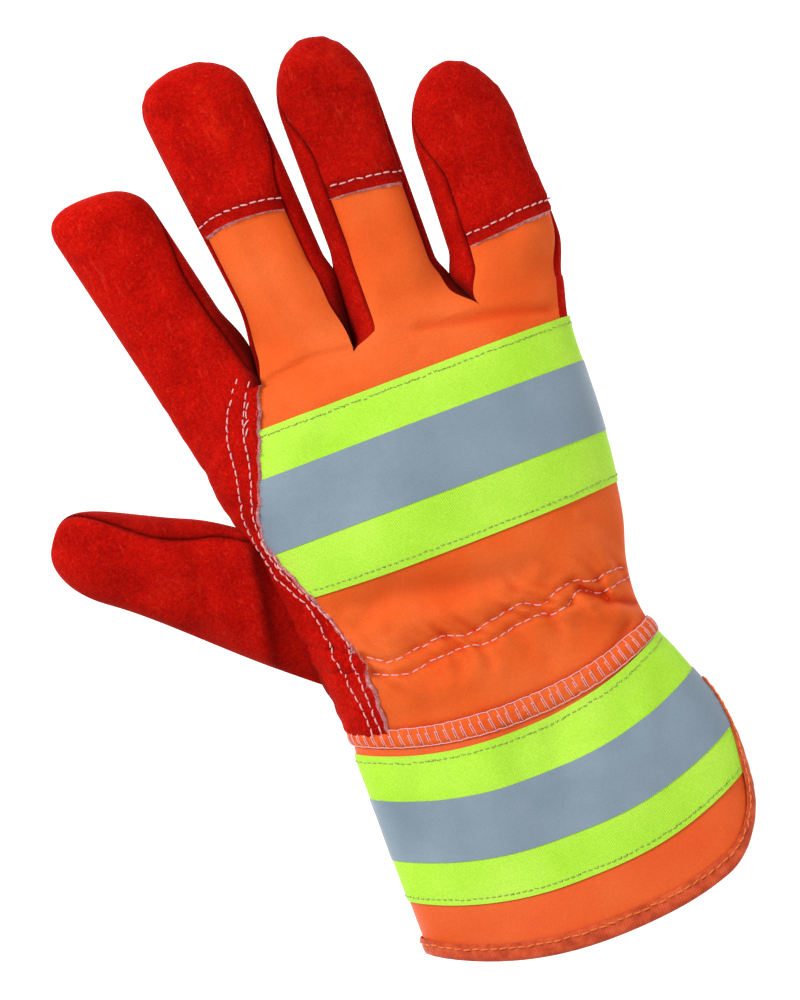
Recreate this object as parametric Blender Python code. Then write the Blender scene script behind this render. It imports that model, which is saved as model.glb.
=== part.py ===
"""Hi-vis rigger work glove for the right hand, lying palm down with its cuff open.

The glove is an assembly of leather, fabric, tape and thread pieces.  Each finger and the
thumb bends at its root and at its middle, and the cuff bends against the hand at the wrist.

Lengths below are in millimetres and become metres when a mesh is made.  X runs towards the
little finger, Y from the wrist seam towards the fingertips, Z up from the table through the
palm to the back of the hand.  The finished model has its origin on the table, under the
middle of the palm.
"""
import math
from collections import namedtuple

import bmesh
import bpy
from mathutils import Vector

MM = 0.001
PALM_MIDDLE_Y = 60.0        # the model's origin, measured from the wrist seam

# Materials' thicknesses
LEATHER = 1.3               # suede and back fabric with its foam, as one wall
LINING = 0.8
CUFF_CLOTH = 0.9
TAPE = 0.6
REFLECTIVE = 0.4
BINDING = 1.6               # how far the bound edge stands off the cuff's face, outside
GAP = 0.3                   # clear space between pieces that touch
INSIDE_GAP = 0.7            # the same under the hand's curved inside

# Cross-sections
SQUARENESS = 2.4            # 2 is an ellipse
DOME_SQUARENESS = 2.4       # the same for the closing height of a fingertip
MID_Z = 11.0                # height of the widest line of the hand and of the digits
DIGIT_ABOVE = 9.8
DIGIT_BELOW = 10.6
DIGIT_FLOOR = 0.4           # digits flatten where they lie
NARROWEST = 0.1
CLOSED = 0.02               # share of the section that a closed tip keeps
PALM_BELOW = 12.5           # rounder than the table allows, so that the palm lies flat

# Hand: at each Y, the left edge, the right edge and the height of the back
HAND_Y = (1.5, 6.0, 18.0, 30.0, 45.0, 60.0, 72.0, 85.0, 100.6)
HAND_LEFT = (-45.5, -45.0, -46.5, -48.0, -50.0, -51.5, -54.0, -57.5, -61.5)
HAND_RIGHT = (45.0, 43.5, 44.5, 48.0, 50.5, 52.0, 52.5, 53.0, 56.0)
HAND_TOP = (30.0, 29.0, 28.5, 29.0, 30.0, 30.0, 29.0, 27.0, 23.0)

# Fingers bend about lines across the hand
Finger = namedtuple("Finger", "name root_x lean root_y mid_y tip_y root_half tip_half dome_y fullness cap_y")
FINGERS = (
    Finger("index", -49.2, -0.226, 110.0, 137.0, 167.5, 14.5, 14.6, 157.0, 2.6, None),
    Finger("middle", -17.8, -0.088, 113.0, 145.0, 192.8, 13.9, 15.6, 180.0, 2.2, 145.0),
    Finger("ring", 10.5, 0.010, 112.0, 141.0, 188.0, 13.7, 14.0, 168.0, 2.0, 141.0),
    Finger("little", 43.3, 0.020, 111.0, 136.0, 168.0, 15.2, 14.5, 145.0, 2.0, 117.0),
)

# Thumb: its root bends about a line along the hand's side, its middle across the thumb
THUMB_ROOT_X = -60.0
THUMB_ROOT_Y = (25.6, 69.4)
THUMB_STUB_Y = (19.0, 62.0)     # where the thumb's tube starts, inside the hand
THUMB_STUB_X = -41.0
THUMB_MID = ((-90.6, 53.3), (-74.8, 76.9))
THUMB_TIP = (-104.6, 80.8)
THUMB_DOME = 0.42               # share of the tip segment that is straight
THUMB_FULLNESS = 2.5

# Tubes that join the fingers to the hand: they start below its surface and come out of it
STUB_Y = (88.0, 101.0)
STUB_SINK = 4.5
STUB_REACH = 4.0            # the stub's inside is cut this far past the hinge line
INSIDE_REACH = 6.0          # the hand's inside is cut this far past its wrist end

# Leather border on the back, between the thumb-side strip and the fabric
BORDER = ((-34.0, 112.0), (-34.0, 100.4), (-38.5, 88.7), (-44.5, 72.0), (-47.7, 59.2),
          (-41.8, 41.5), (-34.9, 20.0), (-35.0, -14.0))

# Joints' sockets
NEST = 0.45                 # clearance of a moving segment inside its socket
FLARE = 6.0                 # length over which the segment widens out of the socket
RIM_TOP = 0.4               # socket's rim ends this far behind the hinge line on the back
RIM_BOTTOM = 9.8            # and this far on the palm side, where the finger folds
SEAM_LIFT = 0.3             # moves each digit's back piece off its front piece

# Hi-vis band on the hand, elastic and lining
BAND_Y = (40.5, 88.0)
BAND_SILVER_Y = (54.5, 74.5)
BAND_LIFT = 0.7             # the band bridges the fabric's small hollows
BAND_START = 8.0            # angle on the hand's side where the bands are sewn in
BAND_CLEAR = 1.5            # bands end this far from the leather border
BORDER_SAG = 0.7            # share of the hand's hanging that its border has
ELASTIC_Y = (11.0, 19.0)
ELASTIC_ARC = (20.0, 140.0)
ELASTIC_THICKNESS = 1.0
LINING_Y = (4.0, 96.0)
LINING_ARC = (224.0, 344.0)

# Wrist seam and cuff
WRIST_SAG = 10.0            # how far the wrist's middle hangs below its ends
SAG_START = 60.0            # the hanging starts here and is full at the wrist's end
SAG_END = -5.0
SAG_GROWTH = 1.6
SAG_SHAPE = 2.3             # 2 is a parabola
CUFF_SAG = 2.0              # what the cuff adds to that by its hem
WRIST_Y = -1.5              # hinge line between hand and cuff
WRIST_Z = 14.0
SEAM_Y = (-5.5, -2.0)
SEAM_INSET = 2.9            # the seam's ridge lies inside the cuff and the hand
SEAM_THICKNESS = 1.0
SEAM_ARC = (2.0, 358.0)
CUFF_Y = (-4.0, -65.0)
CUFF_STATIONS = (-4.0, -15.0, -25.0, -35.0, -50.0, -65.0)
CUFF_RIGHT = (47.5, 50.0, 54.0, 55.8, 56.0, 56.0)
CUFF_LEFT = -46.3
CUFF_TOP = (30.0, 38.0)     # at the wrist and at the hem
CUFF_FLOOR = 1.7
CUFF_MID = (13.0, 18.0)
SLIT = (0.35, 8.0)          # half the slit's gap at the wrist and at the hem
SLIT_TOP_Y = -21.0          # the slit is sewn shut above this
SLIT_GROWTH = 1.5
SLIT_EASE = 3.5             # length over which the edge widens for its binding
SLIT_BINDING_RISE = 4.0     # the binding ends this far below the sewn part
CORNER = 18.0               # radius of the cuff's corners beside the slit
BINDING_WIDTH = 5.0
CUFF_BAND_Y = -48.0         # the yellow tape's lower edge
CUFF_SILVER_Y = (-18.5, -36.0)

# Forms used for cutting reach this far past the glove
BEYOND = 200.0
BLOCK = 700.0

FABRIC_ARC_START = 38.0     # angle of the seams between a finger's back and front pieces
SHARP_ANGLE = 40.0

# Mesh densities
ROUND = 32
BACK_COLUMNS = 8
FRONT_COLUMNS = 12
DIGIT_ROWS = 5
TIP_ROWS = 8
CUFF_COLUMNS = 40
CORNER_STEPS = 7
ARC_TABLE_STEPS = 240

RED = (0.50, 0.012, 0.004)
ORANGE = (0.95, 0.12, 0.025)
YELLOW = (0.48, 0.90, 0.06)
SILVER = (0.28, 0.33, 0.38)
BROWN = (0.50, 0.10, 0.04)
PINK = (0.90, 0.45, 0.36)
CREAM = (0.75, 0.68, 0.55)
WHITE = (0.80, 0.80, 0.78)

Section = namedtuple("Section", "centre across half mid above below floor sag")


def clear_scene():
    for thing in list(bpy.data.objects):
        bpy.data.objects.remove(thing, do_unlink=True)


def in_model(point):
    """A place measured from the wrist seam, in millimetres, as a place in the model."""
    return Vector((point[0], point[1] - PALM_MIDDLE_Y, point[2])) * MM


def interpolate(value, places, results):
    """The result at value, on straight lines between the known places."""
    rising = places[0] < places[-1]
    pairs = list(zip(places, results)) if rising else list(zip(places, results))[::-1]
    if value <= pairs[0][0]:
        return pairs[0][1]
    for (low, at_low), (high, at_high) in zip(pairs, pairs[1:]):
        if value <= high:
            return at_low + (at_high - at_low) * (value - low) / (high - low)
    return pairs[-1][1]


def smooth(value):
    value = min(max(value, 0.0), 1.0)
    return value * value * (3.0 - 2.0 * value)


def powered(value, power):
    return math.copysign(abs(value) ** power, value)


# ------------------------------------------------------------------ cross-sections

def oval(section, phi):
    """Across and up, from the middle of the section, at the angle phi (0 is at +across)."""
    rise = section.above if math.sin(phi) > 0.0 else section.below
    up = rise * powered(math.sin(phi), 2.0 / SQUARENESS)
    across = section.half * powered(math.cos(phi), 2.0 / SQUARENESS)
    return Vector((across, max(up, section.floor - section.mid)))


def section_point(section, phi, offset=0.0):
    """A point of the section's outline, moved along its outward normal."""
    step = 0.03
    tangent = oval(section, phi + step) - oval(section, phi - step)
    outward = Vector((tangent.y, -tangent.x)).normalized()
    flat = oval(section, phi) + outward * offset
    share = min(abs(flat.x) / section.half, 1.0)
    hang = section.sag * (1.0 - share ** SAG_SHAPE)
    x = section.centre[0] + section.across[0] * flat.x
    y = section.centre[1] + section.across[1] * flat.x - hang
    return Vector((x, y, section.mid + flat.y))


def sag_at(y):
    """How far the middle of a line across the glove hangs below its ends."""
    hand_share = min(max((SAG_START - y) / (SAG_START - SAG_END), 0.0), 1.0)
    cuff_share = min(max((SAG_END - y) / (SAG_END - CUFF_Y[1]), 0.0), 1.0)
    return WRIST_SAG * hand_share ** SAG_GROWTH + CUFF_SAG * cuff_share


def hand_section(y):
    left = interpolate(y, HAND_Y, HAND_LEFT)
    right = interpolate(y, HAND_Y, HAND_RIGHT)
    top = interpolate(y, HAND_Y, HAND_TOP)
    centre = (0.5 * (left + right), y)
    half = 0.5 * (right - left)
    return Section(centre, (1.0, 0.0), half, MID_Z, top - MID_Z, PALM_BELOW, 0.0, sag_at(y))


def cuff_section(y):
    share = (y - CUFF_Y[0]) / (CUFF_Y[1] - CUFF_Y[0])
    right = interpolate(y, CUFF_STATIONS, CUFF_RIGHT)
    mid = CUFF_MID[0] + (CUFF_MID[1] - CUFF_MID[0]) * share
    top = CUFF_TOP[0] + (CUFF_TOP[1] - CUFF_TOP[0]) * share
    centre = (0.5 * (CUFF_LEFT + right), y)
    half = 0.5 * (right - CUFF_LEFT)
    return Section(centre, (1.0, 0.0), half, mid, top - mid, mid, CUFF_FLOOR, sag_at(y))


def digit_section(centre, across, half, width, height, offset):
    """A digit's section; width and height shrink it where the tip closes."""
    half = max(half + offset, NARROWEST) * max(width, CLOSED)
    above = (DIGIT_ABOVE + offset) * max(height, CLOSED)
    below = (DIGIT_BELOW + offset) * max(height, CLOSED)
    return Section(centre, across, half, MID_Z, above, below, DIGIT_FLOOR - offset, 0.0)


def dome(share, fullness):
    """How much of its width a closing tip keeps, from share 0 at its start to 1 at its end."""
    share = min(max(share, 0.0), 1.0)
    return (1.0 - share ** fullness) ** (1.0 / fullness)


def finger_section(finger, y, offset=0.0):
    centre = (finger.root_x + finger.lean * (y - finger.root_y), y)
    share = smooth((y - finger.root_y) / (finger.dome_y - finger.root_y))
    half = finger.root_half + (finger.tip_half - finger.root_half) * share
    closing = (y - finger.dome_y) / (finger.tip_y + offset - finger.dome_y)
    width = dome(closing, finger.fullness)
    height = dome(closing, DOME_SQUARENESS)
    return digit_section(centre, (1.0, 0.0), half, width, height, offset)


def edge_section(low, high, offset, closing=0.0):
    """A thumb section between its lower and upper edge."""
    span = high - low
    keep = dome(closing, THUMB_FULLNESS)
    centre = tuple((low + high) * 0.5)
    across = tuple(span.normalized())
    return digit_section(centre, across, 0.5 * span.length, keep, keep, offset)


def thumb_base_section(share, offset=0.0):
    """From the root hinge, share 0, to the middle hinge, share 1.  Negative is inside the hand."""
    low = Vector((THUMB_ROOT_X, THUMB_ROOT_Y[0]))
    high = Vector((THUMB_ROOT_X, THUMB_ROOT_Y[1]))
    if share < 0.0:
        low = low.lerp(Vector((THUMB_STUB_X, THUMB_STUB_Y[0])), -share)
        high = high.lerp(Vector((THUMB_STUB_X, THUMB_STUB_Y[1])), -share)
        return edge_section(low, high, offset)
    low = low.lerp(Vector(THUMB_MID[0]), share)
    high = high.lerp(Vector(THUMB_MID[1]), share)
    return edge_section(low, high, offset)


def thumb_tip_section(distance, offset=0.0):
    """At a distance from the middle hinge towards the end of the thumb."""
    low = Vector(THUMB_MID[0])
    high = Vector(THUMB_MID[1])
    travel = Vector(THUMB_TIP) - (low + high) * 0.5
    length = travel.length
    straight = THUMB_DOME * length
    closing = (distance - straight) / (length + offset - straight)
    step = travel * (distance / length)
    return edge_section(low + step, high + step, offset, closing)


# ------------------------------------------------------------------ building solids

def add_object(name, mesh, colour, roughness, joint=None, metallic=0.0):
    """One node with its own material, under its joint's empty where it moves."""
    thing = bpy.data.objects.new(name, mesh)
    bpy.context.scene.collection.objects.link(thing)
    surface = bpy.data.materials.new(name)
    surface.use_nodes = True
    shader = surface.node_tree.nodes["Principled BSDF"]
    shader.inputs["Base Color"].default_value = (*colour, 1.0)
    shader.inputs["Roughness"].default_value = roughness
    shader.inputs["Metallic"].default_value = metallic
    mesh.materials.append(surface)
    if joint is not None:
        mesh.transform(joint.matrix_world.inverted())
        thing.parent = joint
    return thing


def finish_mesh(mesh_data, name):
    """Closes a bmesh into a mesh whose faces point out."""
    bmesh.ops.remove_doubles(mesh_data, verts=mesh_data.verts, dist=0.000002)
    bmesh.ops.triangulate(mesh_data, faces=mesh_data.faces)
    bmesh.ops.recalc_face_normals(mesh_data, faces=mesh_data.faces)
    if mesh_data.calc_volume(signed=True) < 0.0:
        bmesh.ops.reverse_faces(mesh_data, faces=mesh_data.faces)
    mesh = bpy.data.meshes.new(name)
    mesh_data.to_mesh(mesh)
    mesh_data.free()
    mesh.shade_smooth()
    mesh.set_sharp_from_angle(angle=math.radians(SHARP_ANGLE))
    return mesh


def sheet_mesh(name, surface, columns, rows, inside, outside):
    """A closed sheet between two offsets of surface(column, row, offset)."""
    mesh_data = bmesh.new()
    grids = []
    for offset in (outside, inside):
        grid = []
        for row in rows:
            grid.append([mesh_data.verts.new(in_model(surface(column, row, offset))) for column in columns])
        grids.append(grid)
    outer, inner = grids
    last_row = len(rows) - 1
    last_column = len(columns) - 1
    for row in range(last_row):
        for column in range(last_column):
            for grid in grids:
                corners = (grid[row][column], grid[row][column + 1])
                far = (grid[row + 1][column + 1], grid[row + 1][column])
                mesh_data.faces.new(corners + far)
        for column in (0, last_column):
            mesh_data.faces.new((outer[row][column], outer[row + 1][column],
                                 inner[row + 1][column], inner[row][column]))
    for row in (0, last_row):
        for column in range(last_column):
            mesh_data.faces.new((outer[row][column], outer[row][column + 1],
                                 inner[row][column + 1], inner[row][column]))
    return finish_mesh(mesh_data, name)


def loft_mesh(name, rings):
    """A closed solid through rings of points, with a fan of triangles at each end."""
    mesh_data = bmesh.new()
    loops = [[mesh_data.verts.new(in_model(point)) for point in ring] for ring in rings]
    for loop, following in zip(loops, loops[1:]):
        for index in range(len(loop)):
            after = (index + 1) % len(loop)
            mesh_data.faces.new((loop[index], loop[after], following[after], following[index]))
    for loop, ring in ((loops[0], rings[0]), (loops[-1], rings[-1])):
        middle = mesh_data.verts.new(in_model(sum(ring, Vector()) / len(ring)))
        for index in range(len(loop)):
            mesh_data.faces.new((loop[index], loop[(index + 1) % len(loop)], middle))
    return finish_mesh(mesh_data, name)


def angles(start, end, count):
    """Angles in degrees, evenly spaced, as radians."""
    return [math.radians(start + (end - start) * index / count) for index in range(count + 1)]


def shares(count, start=0.0, end=1.0):
    return [start + (end - start) * index / count for index in range(count + 1)]


def helper(name, mesh):
    """A form used only to cut or join other pieces."""
    thing = bpy.data.objects.new(name, mesh)
    bpy.context.scene.collection.objects.link(thing)
    thing.hide_render = True
    thing.display_type = "WIRE"
    return thing


def boolean(thing, operation, other):
    step = thing.modifiers.new(operation.title() + other.name, "BOOLEAN")
    step.operation = operation
    step.solver = "EXACT"
    step.object = other


def joint_empty(name, place):
    empty = bpy.data.objects.new(name, None)
    empty.location = in_model(place)
    bpy.context.scene.collection.objects.link(empty)
    bpy.context.view_layer.update()
    return empty


# ------------------------------------------------------------------ digits

def rim_drop(phi):
    """How far behind its hinge line a socket's rim is, at an angle round the digit."""
    height = 0.5 * (1.0 + powered(math.sin(phi), 2.0 / SQUARENESS))
    return RIM_BOTTOM + (RIM_TOP - RIM_BOTTOM) * height


def nest_offset(distance):
    """A segment starts inside its socket and widens as it leaves it."""
    return -(LEATHER + NEST) * (1.0 - smooth(distance / FLARE))


def digit_surface(section_at, length, socket_at_end, lift):
    """surface(phi, share, offset) of a segment, section_at(distance, offset) giving its sections."""
    def surface(phi, share, offset):
        reach = length - rim_drop(phi) if socket_at_end else length + offset
        distance = share * reach
        place = section_point(section_at(distance, offset + nest_offset(distance)), phi)
        place.z += lift
        return place
    return surface


def digit_piece(name, section_at, length, span, arc, columns, socket_at_end, colour, joint):
    """One leather or fabric piece of a digit: a stretch of its length, an arc round it."""
    lift = SEAM_LIFT if 0.0 < 0.5 * (arc[0] + arc[1]) < 180.0 else 0.0
    surface = digit_surface(section_at, length, socket_at_end, lift)
    count = DIGIT_ROWS if socket_at_end else TIP_ROWS
    rows = shares(count, span[0], span[1])
    if not socket_at_end:
        rows = [span[0] + (span[1] - span[0]) * math.sin(0.5 * math.pi * share) for share in shares(count)]
    mesh = sheet_mesh(name, surface, angles(arc[0], arc[1], columns), rows, -LEATHER, 0.0)
    add_object(name, mesh, colour, 0.9, joint)


def build_finger(finger):
    """Base and tip segments, each with a front and a back piece."""
    root = joint_empty(finger.name + "_root_joint", (finger.root_x, finger.root_y, MID_Z))
    mid_x = finger.root_x + finger.lean * (finger.mid_y - finger.root_y)
    middle = joint_empty(finger.name + "_mid_joint", (mid_x, finger.mid_y, MID_Z))
    base_length = finger.mid_y - finger.root_y
    tip_length = finger.tip_y - finger.mid_y

    def base_section(distance, offset):
        return finger_section(finger, finger.root_y + distance, offset)

    def tip_section(distance, offset):
        return finger_section(finger, finger.mid_y + distance, offset)

    all_leather = finger.cap_y is None
    seam = 0.0 if all_leather else FABRIC_ARC_START
    back_arc = (seam, 180.0 - seam)
    front_arc = (180.0 - seam, 360.0 + seam)
    name = finger.name
    digit_piece(name + "_base_front_leather", base_section, base_length, (0.0, 1.0), front_arc,
                FRONT_COLUMNS, True, RED, root)
    digit_piece(name + "_tip_front_leather", tip_section, tip_length, (0.0, 1.0), front_arc,
                FRONT_COLUMNS, False, RED, middle)
    if all_leather:
        digit_piece(name + "_base_back_leather", base_section, base_length, (0.0, 1.0), back_arc,
                    BACK_COLUMNS, True, RED, root)
    elif finger.cap_y >= finger.mid_y:
        digit_piece(name + "_base_back_fabric", base_section, base_length, (0.0, 1.0), back_arc,
                    BACK_COLUMNS, True, ORANGE, root)
    else:
        hem = (finger.cap_y - finger.root_y) / base_length
        clear = GAP / base_length
        digit_piece(name + "_base_back_fabric", base_section, base_length, (0.0, hem), back_arc,
                    BACK_COLUMNS, True, ORANGE, root)
        digit_piece(name + "_base_cap_leather", base_section, base_length, (hem + clear, 1.0), back_arc,
                    BACK_COLUMNS, True, RED, root)
    back_name = "_tip_back_leather" if all_leather else "_tip_cap_leather"
    digit_piece(name + back_name, tip_section, tip_length, (0.0, 1.0), back_arc,
                BACK_COLUMNS, False, RED, middle)


def build_thumb():
    """The thumb's two segments; its angles start at its upper edge, beside the index finger."""
    root_y = 0.5 * (THUMB_ROOT_Y[0] + THUMB_ROOT_Y[1])
    root = joint_empty("thumb_root_joint", (THUMB_ROOT_X, root_y, MID_Z))
    middle_place = (Vector(THUMB_MID[0]) + Vector(THUMB_MID[1])) * 0.5
    middle = joint_empty("thumb_mid_joint", (middle_place.x, middle_place.y, MID_Z))
    base_length = (middle_place - Vector((THUMB_ROOT_X, root_y))).length
    tip_length = (Vector(THUMB_TIP) - middle_place).length

    def base_section(distance, offset):
        return thumb_base_section(distance / base_length, offset)

    for part, section_at, length, socket, joint in (("base", base_section, base_length, True, root),
                                                    ("tip", thumb_tip_section, tip_length, False, middle)):
        digit_piece("thumb_" + part + "_front_leather", section_at, length, (0.0, 1.0), (180.0, 360.0),
                    FRONT_COLUMNS, socket, RED, joint)
        digit_piece("thumb_" + part + "_back_leather", section_at, length, (0.0, 1.0), (0.0, 180.0),
                    BACK_COLUMNS, socket, RED, joint)


# ------------------------------------------------------------------ hand

def hand_form(name, offset):
    """The hand without its digits, as a solid.  A negative offset gives its inside."""
    ends = INSIDE_REACH if offset < 0.0 else 0.0
    stations = [HAND_Y[0] - ends] + list(HAND_Y[1:-1]) + [HAND_Y[-1] + offset]
    rings = []
    for y in stations:
        section = hand_section(max(y, HAND_Y[0]))
        ring = [section_point(section, phi, offset) for phi in angles(0.0, 360.0, ROUND)[:-1]]
        back = min(y - HAND_Y[0], 0.0)
        rings.append([point + Vector((0.0, back, 0.0)) for point in ring])
    return helper(name, loft_mesh(name, rings))


def finger_stub(finger, name, offset):
    """The tube that joins a finger to the hand and ends in its root's socket."""
    rings = []
    for share in shares(6):
        ring = []
        for phi in angles(0.0, 360.0, ROUND)[:-1]:
            end = finger.root_y - rim_drop(phi) if offset == 0.0 else finger.root_y + STUB_REACH
            y = STUB_Y[0] + (end - STUB_Y[0]) * share
            sunk = STUB_SINK * (1.0 - smooth((y - STUB_Y[0]) / (STUB_Y[1] - STUB_Y[0])))
            point = section_point(finger_section(finger, finger.root_y, offset - sunk), phi)
            point.x += finger.lean * (y - finger.root_y)
            point.y = y
            ring.append(point)
        rings.append(ring)
    return helper(name, loft_mesh(name, rings))


def thumb_stub(name, offset):
    """The tube that joins the thumb to the hand."""
    length = THUMB_STUB_X - THUMB_ROOT_X
    rings = []
    for share in shares(4):
        ring = []
        for phi in angles(0.0, 360.0, ROUND)[:-1]:
            end = rim_drop(phi) / length if offset == 0.0 else -STUB_REACH / length
            along = 1.0 + (end - 1.0) * share
            point = section_point(thumb_base_section(-max(along, 0.0), offset), phi)
            point.x += length * min(along, 0.0)
            ring.append(point)
        rings.append(ring)
    return helper(name, loft_mesh(name, rings))


def whole_form(name, offset):
    """The hand with the stubs of its five digits, as one solid."""
    form = hand_form(name, offset)
    for finger in FINGERS:
        boolean(form, "UNION", finger_stub(finger, name + "_" + finger.name, offset))
    boolean(form, "UNION", thumb_stub(name + "_thumb", offset))
    return form


def evaluated_mesh(thing, name):
    """The thing's mesh with its modifiers worked out."""
    graph = bpy.context.evaluated_depsgraph_get()
    mesh = bpy.data.meshes.new_from_object(thing.evaluated_get(graph))
    mesh.name = name
    mesh.materials.clear()
    return mesh


def slab(name, low_z, high_z):
    """A block wider than the glove between two heights."""
    mesh_data = bmesh.new()
    bmesh.ops.create_cube(mesh_data, size=1.0)
    for vertex in mesh_data.verts:
        z = high_z if vertex.co.z > 0.0 else low_z
        vertex.co = Vector((vertex.co.x * BLOCK, vertex.co.y * BLOCK, z)) * MM
    return helper(name, finish_mesh(mesh_data, name))


def border_prism(name, shift):
    """Everything on the thumb's side of the leather border."""
    rings = []
    for z in (-BEYOND, BEYOND):
        ring = [Vector((x + shift, y, z)) for x, y in BORDER]
        ring += [Vector((-BEYOND, BORDER[-1][1], z)), Vector((-BEYOND, BORDER[0][1], z))]
        rings.append(ring)
    return helper(name, loft_mesh(name, rings))


def hand_node(name, shell, colour, steps):
    thing = add_object(name, shell.copy(), colour, 0.9)
    for operation, other in steps:
        boolean(thing, operation, other)


def build_hand_shell():
    """Palm leather below, and above it the thumb-side strip and the back fabric."""
    form = whole_form("hand_outside", 0.0)
    boolean(form, "DIFFERENCE", whole_form("hand_inside", -LEATHER))
    shell = evaluated_mesh(form, "hand_shell")
    lower = slab("below_side_seam", -BEYOND, MID_Z + GAP)
    upper = slab("above_side_seam", MID_Z, BEYOND)
    strip_side = border_prism("strip_side", 0.0)
    fabric_side = border_prism("fabric_side", GAP)
    hand_node("palm_leather", shell, RED, (("DIFFERENCE", upper),))
    hand_node("thumb_side_strip", shell, RED, (("DIFFERENCE", lower), ("INTERSECT", strip_side)))
    hand_node("back_fabric", shell, ORANGE, (("DIFFERENCE", lower), ("DIFFERENCE", fabric_side)))


def border_x(y):
    return interpolate(y, [place[1] for place in BORDER], [place[0] for place in BORDER])


def hand_angle(y, x):
    """The angle on the back of the hand whose point has this X."""
    section = hand_section(y)
    share = (x - section.centre[0]) / section.half
    return math.acos(powered(share, 0.5 * SQUARENESS))


def band_surface(column, y, offset):
    """Column 0 is at the little-finger edge, column 1 beside the leather border."""
    start = math.radians(BAND_START)
    end_y = y - sag_at(y) * BORDER_SAG
    end = hand_angle(y, border_x(end_y) + BAND_CLEAR)
    return section_point(hand_section(y), start + (end - start) * column, offset)


def build_hand_trim():
    columns = shares(22)
    rows = shares(5, BAND_Y[0], BAND_Y[1])
    low = BAND_LIFT
    mesh = sheet_mesh("hand_hivis_tape", band_surface, columns, rows, low, low + TAPE)
    add_object("hand_hivis_tape", mesh, YELLOW, 0.7)
    low += TAPE + GAP
    rows = shares(2, BAND_SILVER_Y[0], BAND_SILVER_Y[1])
    mesh = sheet_mesh("hand_reflective_strip", band_surface, columns, rows, low, low + REFLECTIVE)
    add_object("hand_reflective_strip", mesh, SILVER, 0.4, metallic=0.3)

    def inside_surface(phi, y, offset):
        return section_point(hand_section(y), phi, offset - LEATHER - INSIDE_GAP)

    columns = angles(*ELASTIC_ARC, 16)
    rows = shares(2, *ELASTIC_Y)
    mesh = sheet_mesh("wrist_elastic", inside_surface, columns, rows, -ELASTIC_THICKNESS, 0.0)
    add_object("wrist_elastic", mesh, WHITE, 0.8)
    columns = angles(*LINING_ARC, 16)
    rows = shares(7, *LINING_Y)
    mesh = sheet_mesh("palm_lining", inside_surface, columns, rows, -LINING, 0.0)
    add_object("palm_lining", mesh, CREAM, 0.95)


# ------------------------------------------------------------------ cuff

def cuff_arc_table():
    """Angles round the hem and the distance of each from the slit's upper edge."""
    section = cuff_section(CUFF_Y[1])
    start = slit_angle(CUFF_Y[1])
    count = ARC_TABLE_STEPS
    table = []
    distance = 0.0
    previous = None
    for index in range(count + 1):
        phi = start + (2.0 * math.pi - 2.0 * start) * index / count
        point = oval(section, phi)
        if previous is not None:
            distance += (point - previous).length
        table.append((distance, index / count))
        previous = point
    return table


def slit_angle(y):
    share = min(max((y - CUFF_Y[0]) / (CUFF_Y[1] - CUFF_Y[0]), 0.0), 1.0)
    gap = SLIT[0] + (SLIT[1] - SLIT[0]) * share ** SLIT_GROWTH
    return math.asin((gap / cuff_section(y).above) ** (0.5 * SQUARENESS))


def cuff_point(distance, y, offset):
    """A place on the cuff: distance round it from the slit, measured at the hem."""
    share = interpolate(distance, CUFF_DISTANCES, CUFF_SHARES)
    start = slit_angle(y)
    phi = start + (2.0 * math.pi - 2.0 * start) * share
    return section_point(cuff_section(y), phi, offset)


def edge_margin(y, bound_margin):
    """Distance from the slit's edge: next to it where it is sewn, past the binding below."""
    return GAP + (bound_margin - GAP) * smooth((SLIT_TOP_Y + SLIT_EASE - y) / SLIT_EASE)


def cuff_sheet(name, low_y, high_y, inside, outside, colour, roughness, joint, to_hem=False, metallic=0.0):
    """A sheet round the cuff between two heights along it, or down to the bound hem."""
    margin = BINDING_WIDTH + GAP
    radius = CORNER - margin

    def surface(column, row, offset):
        around = margin + (CUFF_LENGTH - 2.0 * margin) * column
        from_edge = min(around, CUFF_LENGTH - around) - margin
        end = high_y
        if to_hem and from_edge < radius:
            rest = max(radius ** 2 - (radius - from_edge) ** 2, 0.0)
            end = high_y + radius - math.sqrt(rest)
        y = low_y + (end - low_y) * row
        narrow = edge_margin(y, margin)
        distance = narrow + (CUFF_LENGTH - 2.0 * narrow) * column
        return cuff_point(distance, y, offset)

    corner = radius / (CUFF_LENGTH - 2.0 * margin)
    columns = [corner * (1.0 - math.cos(0.5 * math.pi * share)) for share in shares(CORNER_STEPS)]
    columns += shares(CUFF_COLUMNS - 2 * CORNER_STEPS, corner, 1.0 - corner)[1:-1]
    columns += [1.0 - column for column in columns[CORNER_STEPS::-1]]
    mesh = sheet_mesh(name, surface, columns, shares(6), inside, outside)
    add_object(name, mesh, colour, roughness, joint, metallic)


def binding_outline(inset):
    """The bound edge laid flat: from the slit, round a corner, along the hem and back up."""
    radius = CORNER - inset
    top = SLIT_TOP_Y - SLIT_BINDING_RISE
    hem = CUFF_Y[1]
    quarter = shares(CORNER_STEPS, 0.0, 0.5 * math.pi)
    line = [(inset, top + (hem + CORNER - top) * share) for share in shares(4)[:-1]]
    line += [(CORNER - radius * math.cos(turn), hem + CORNER - radius * math.sin(turn)) for turn in quarter]
    straight = CUFF_LENGTH - 2.0 * CORNER
    middle = [(CORNER + straight * share, hem + inset) for share in shares(CUFF_COLUMNS)[1:-1]]
    return line + middle + [(CUFF_LENGTH - x, y) for x, y in line[::-1]]


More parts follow.
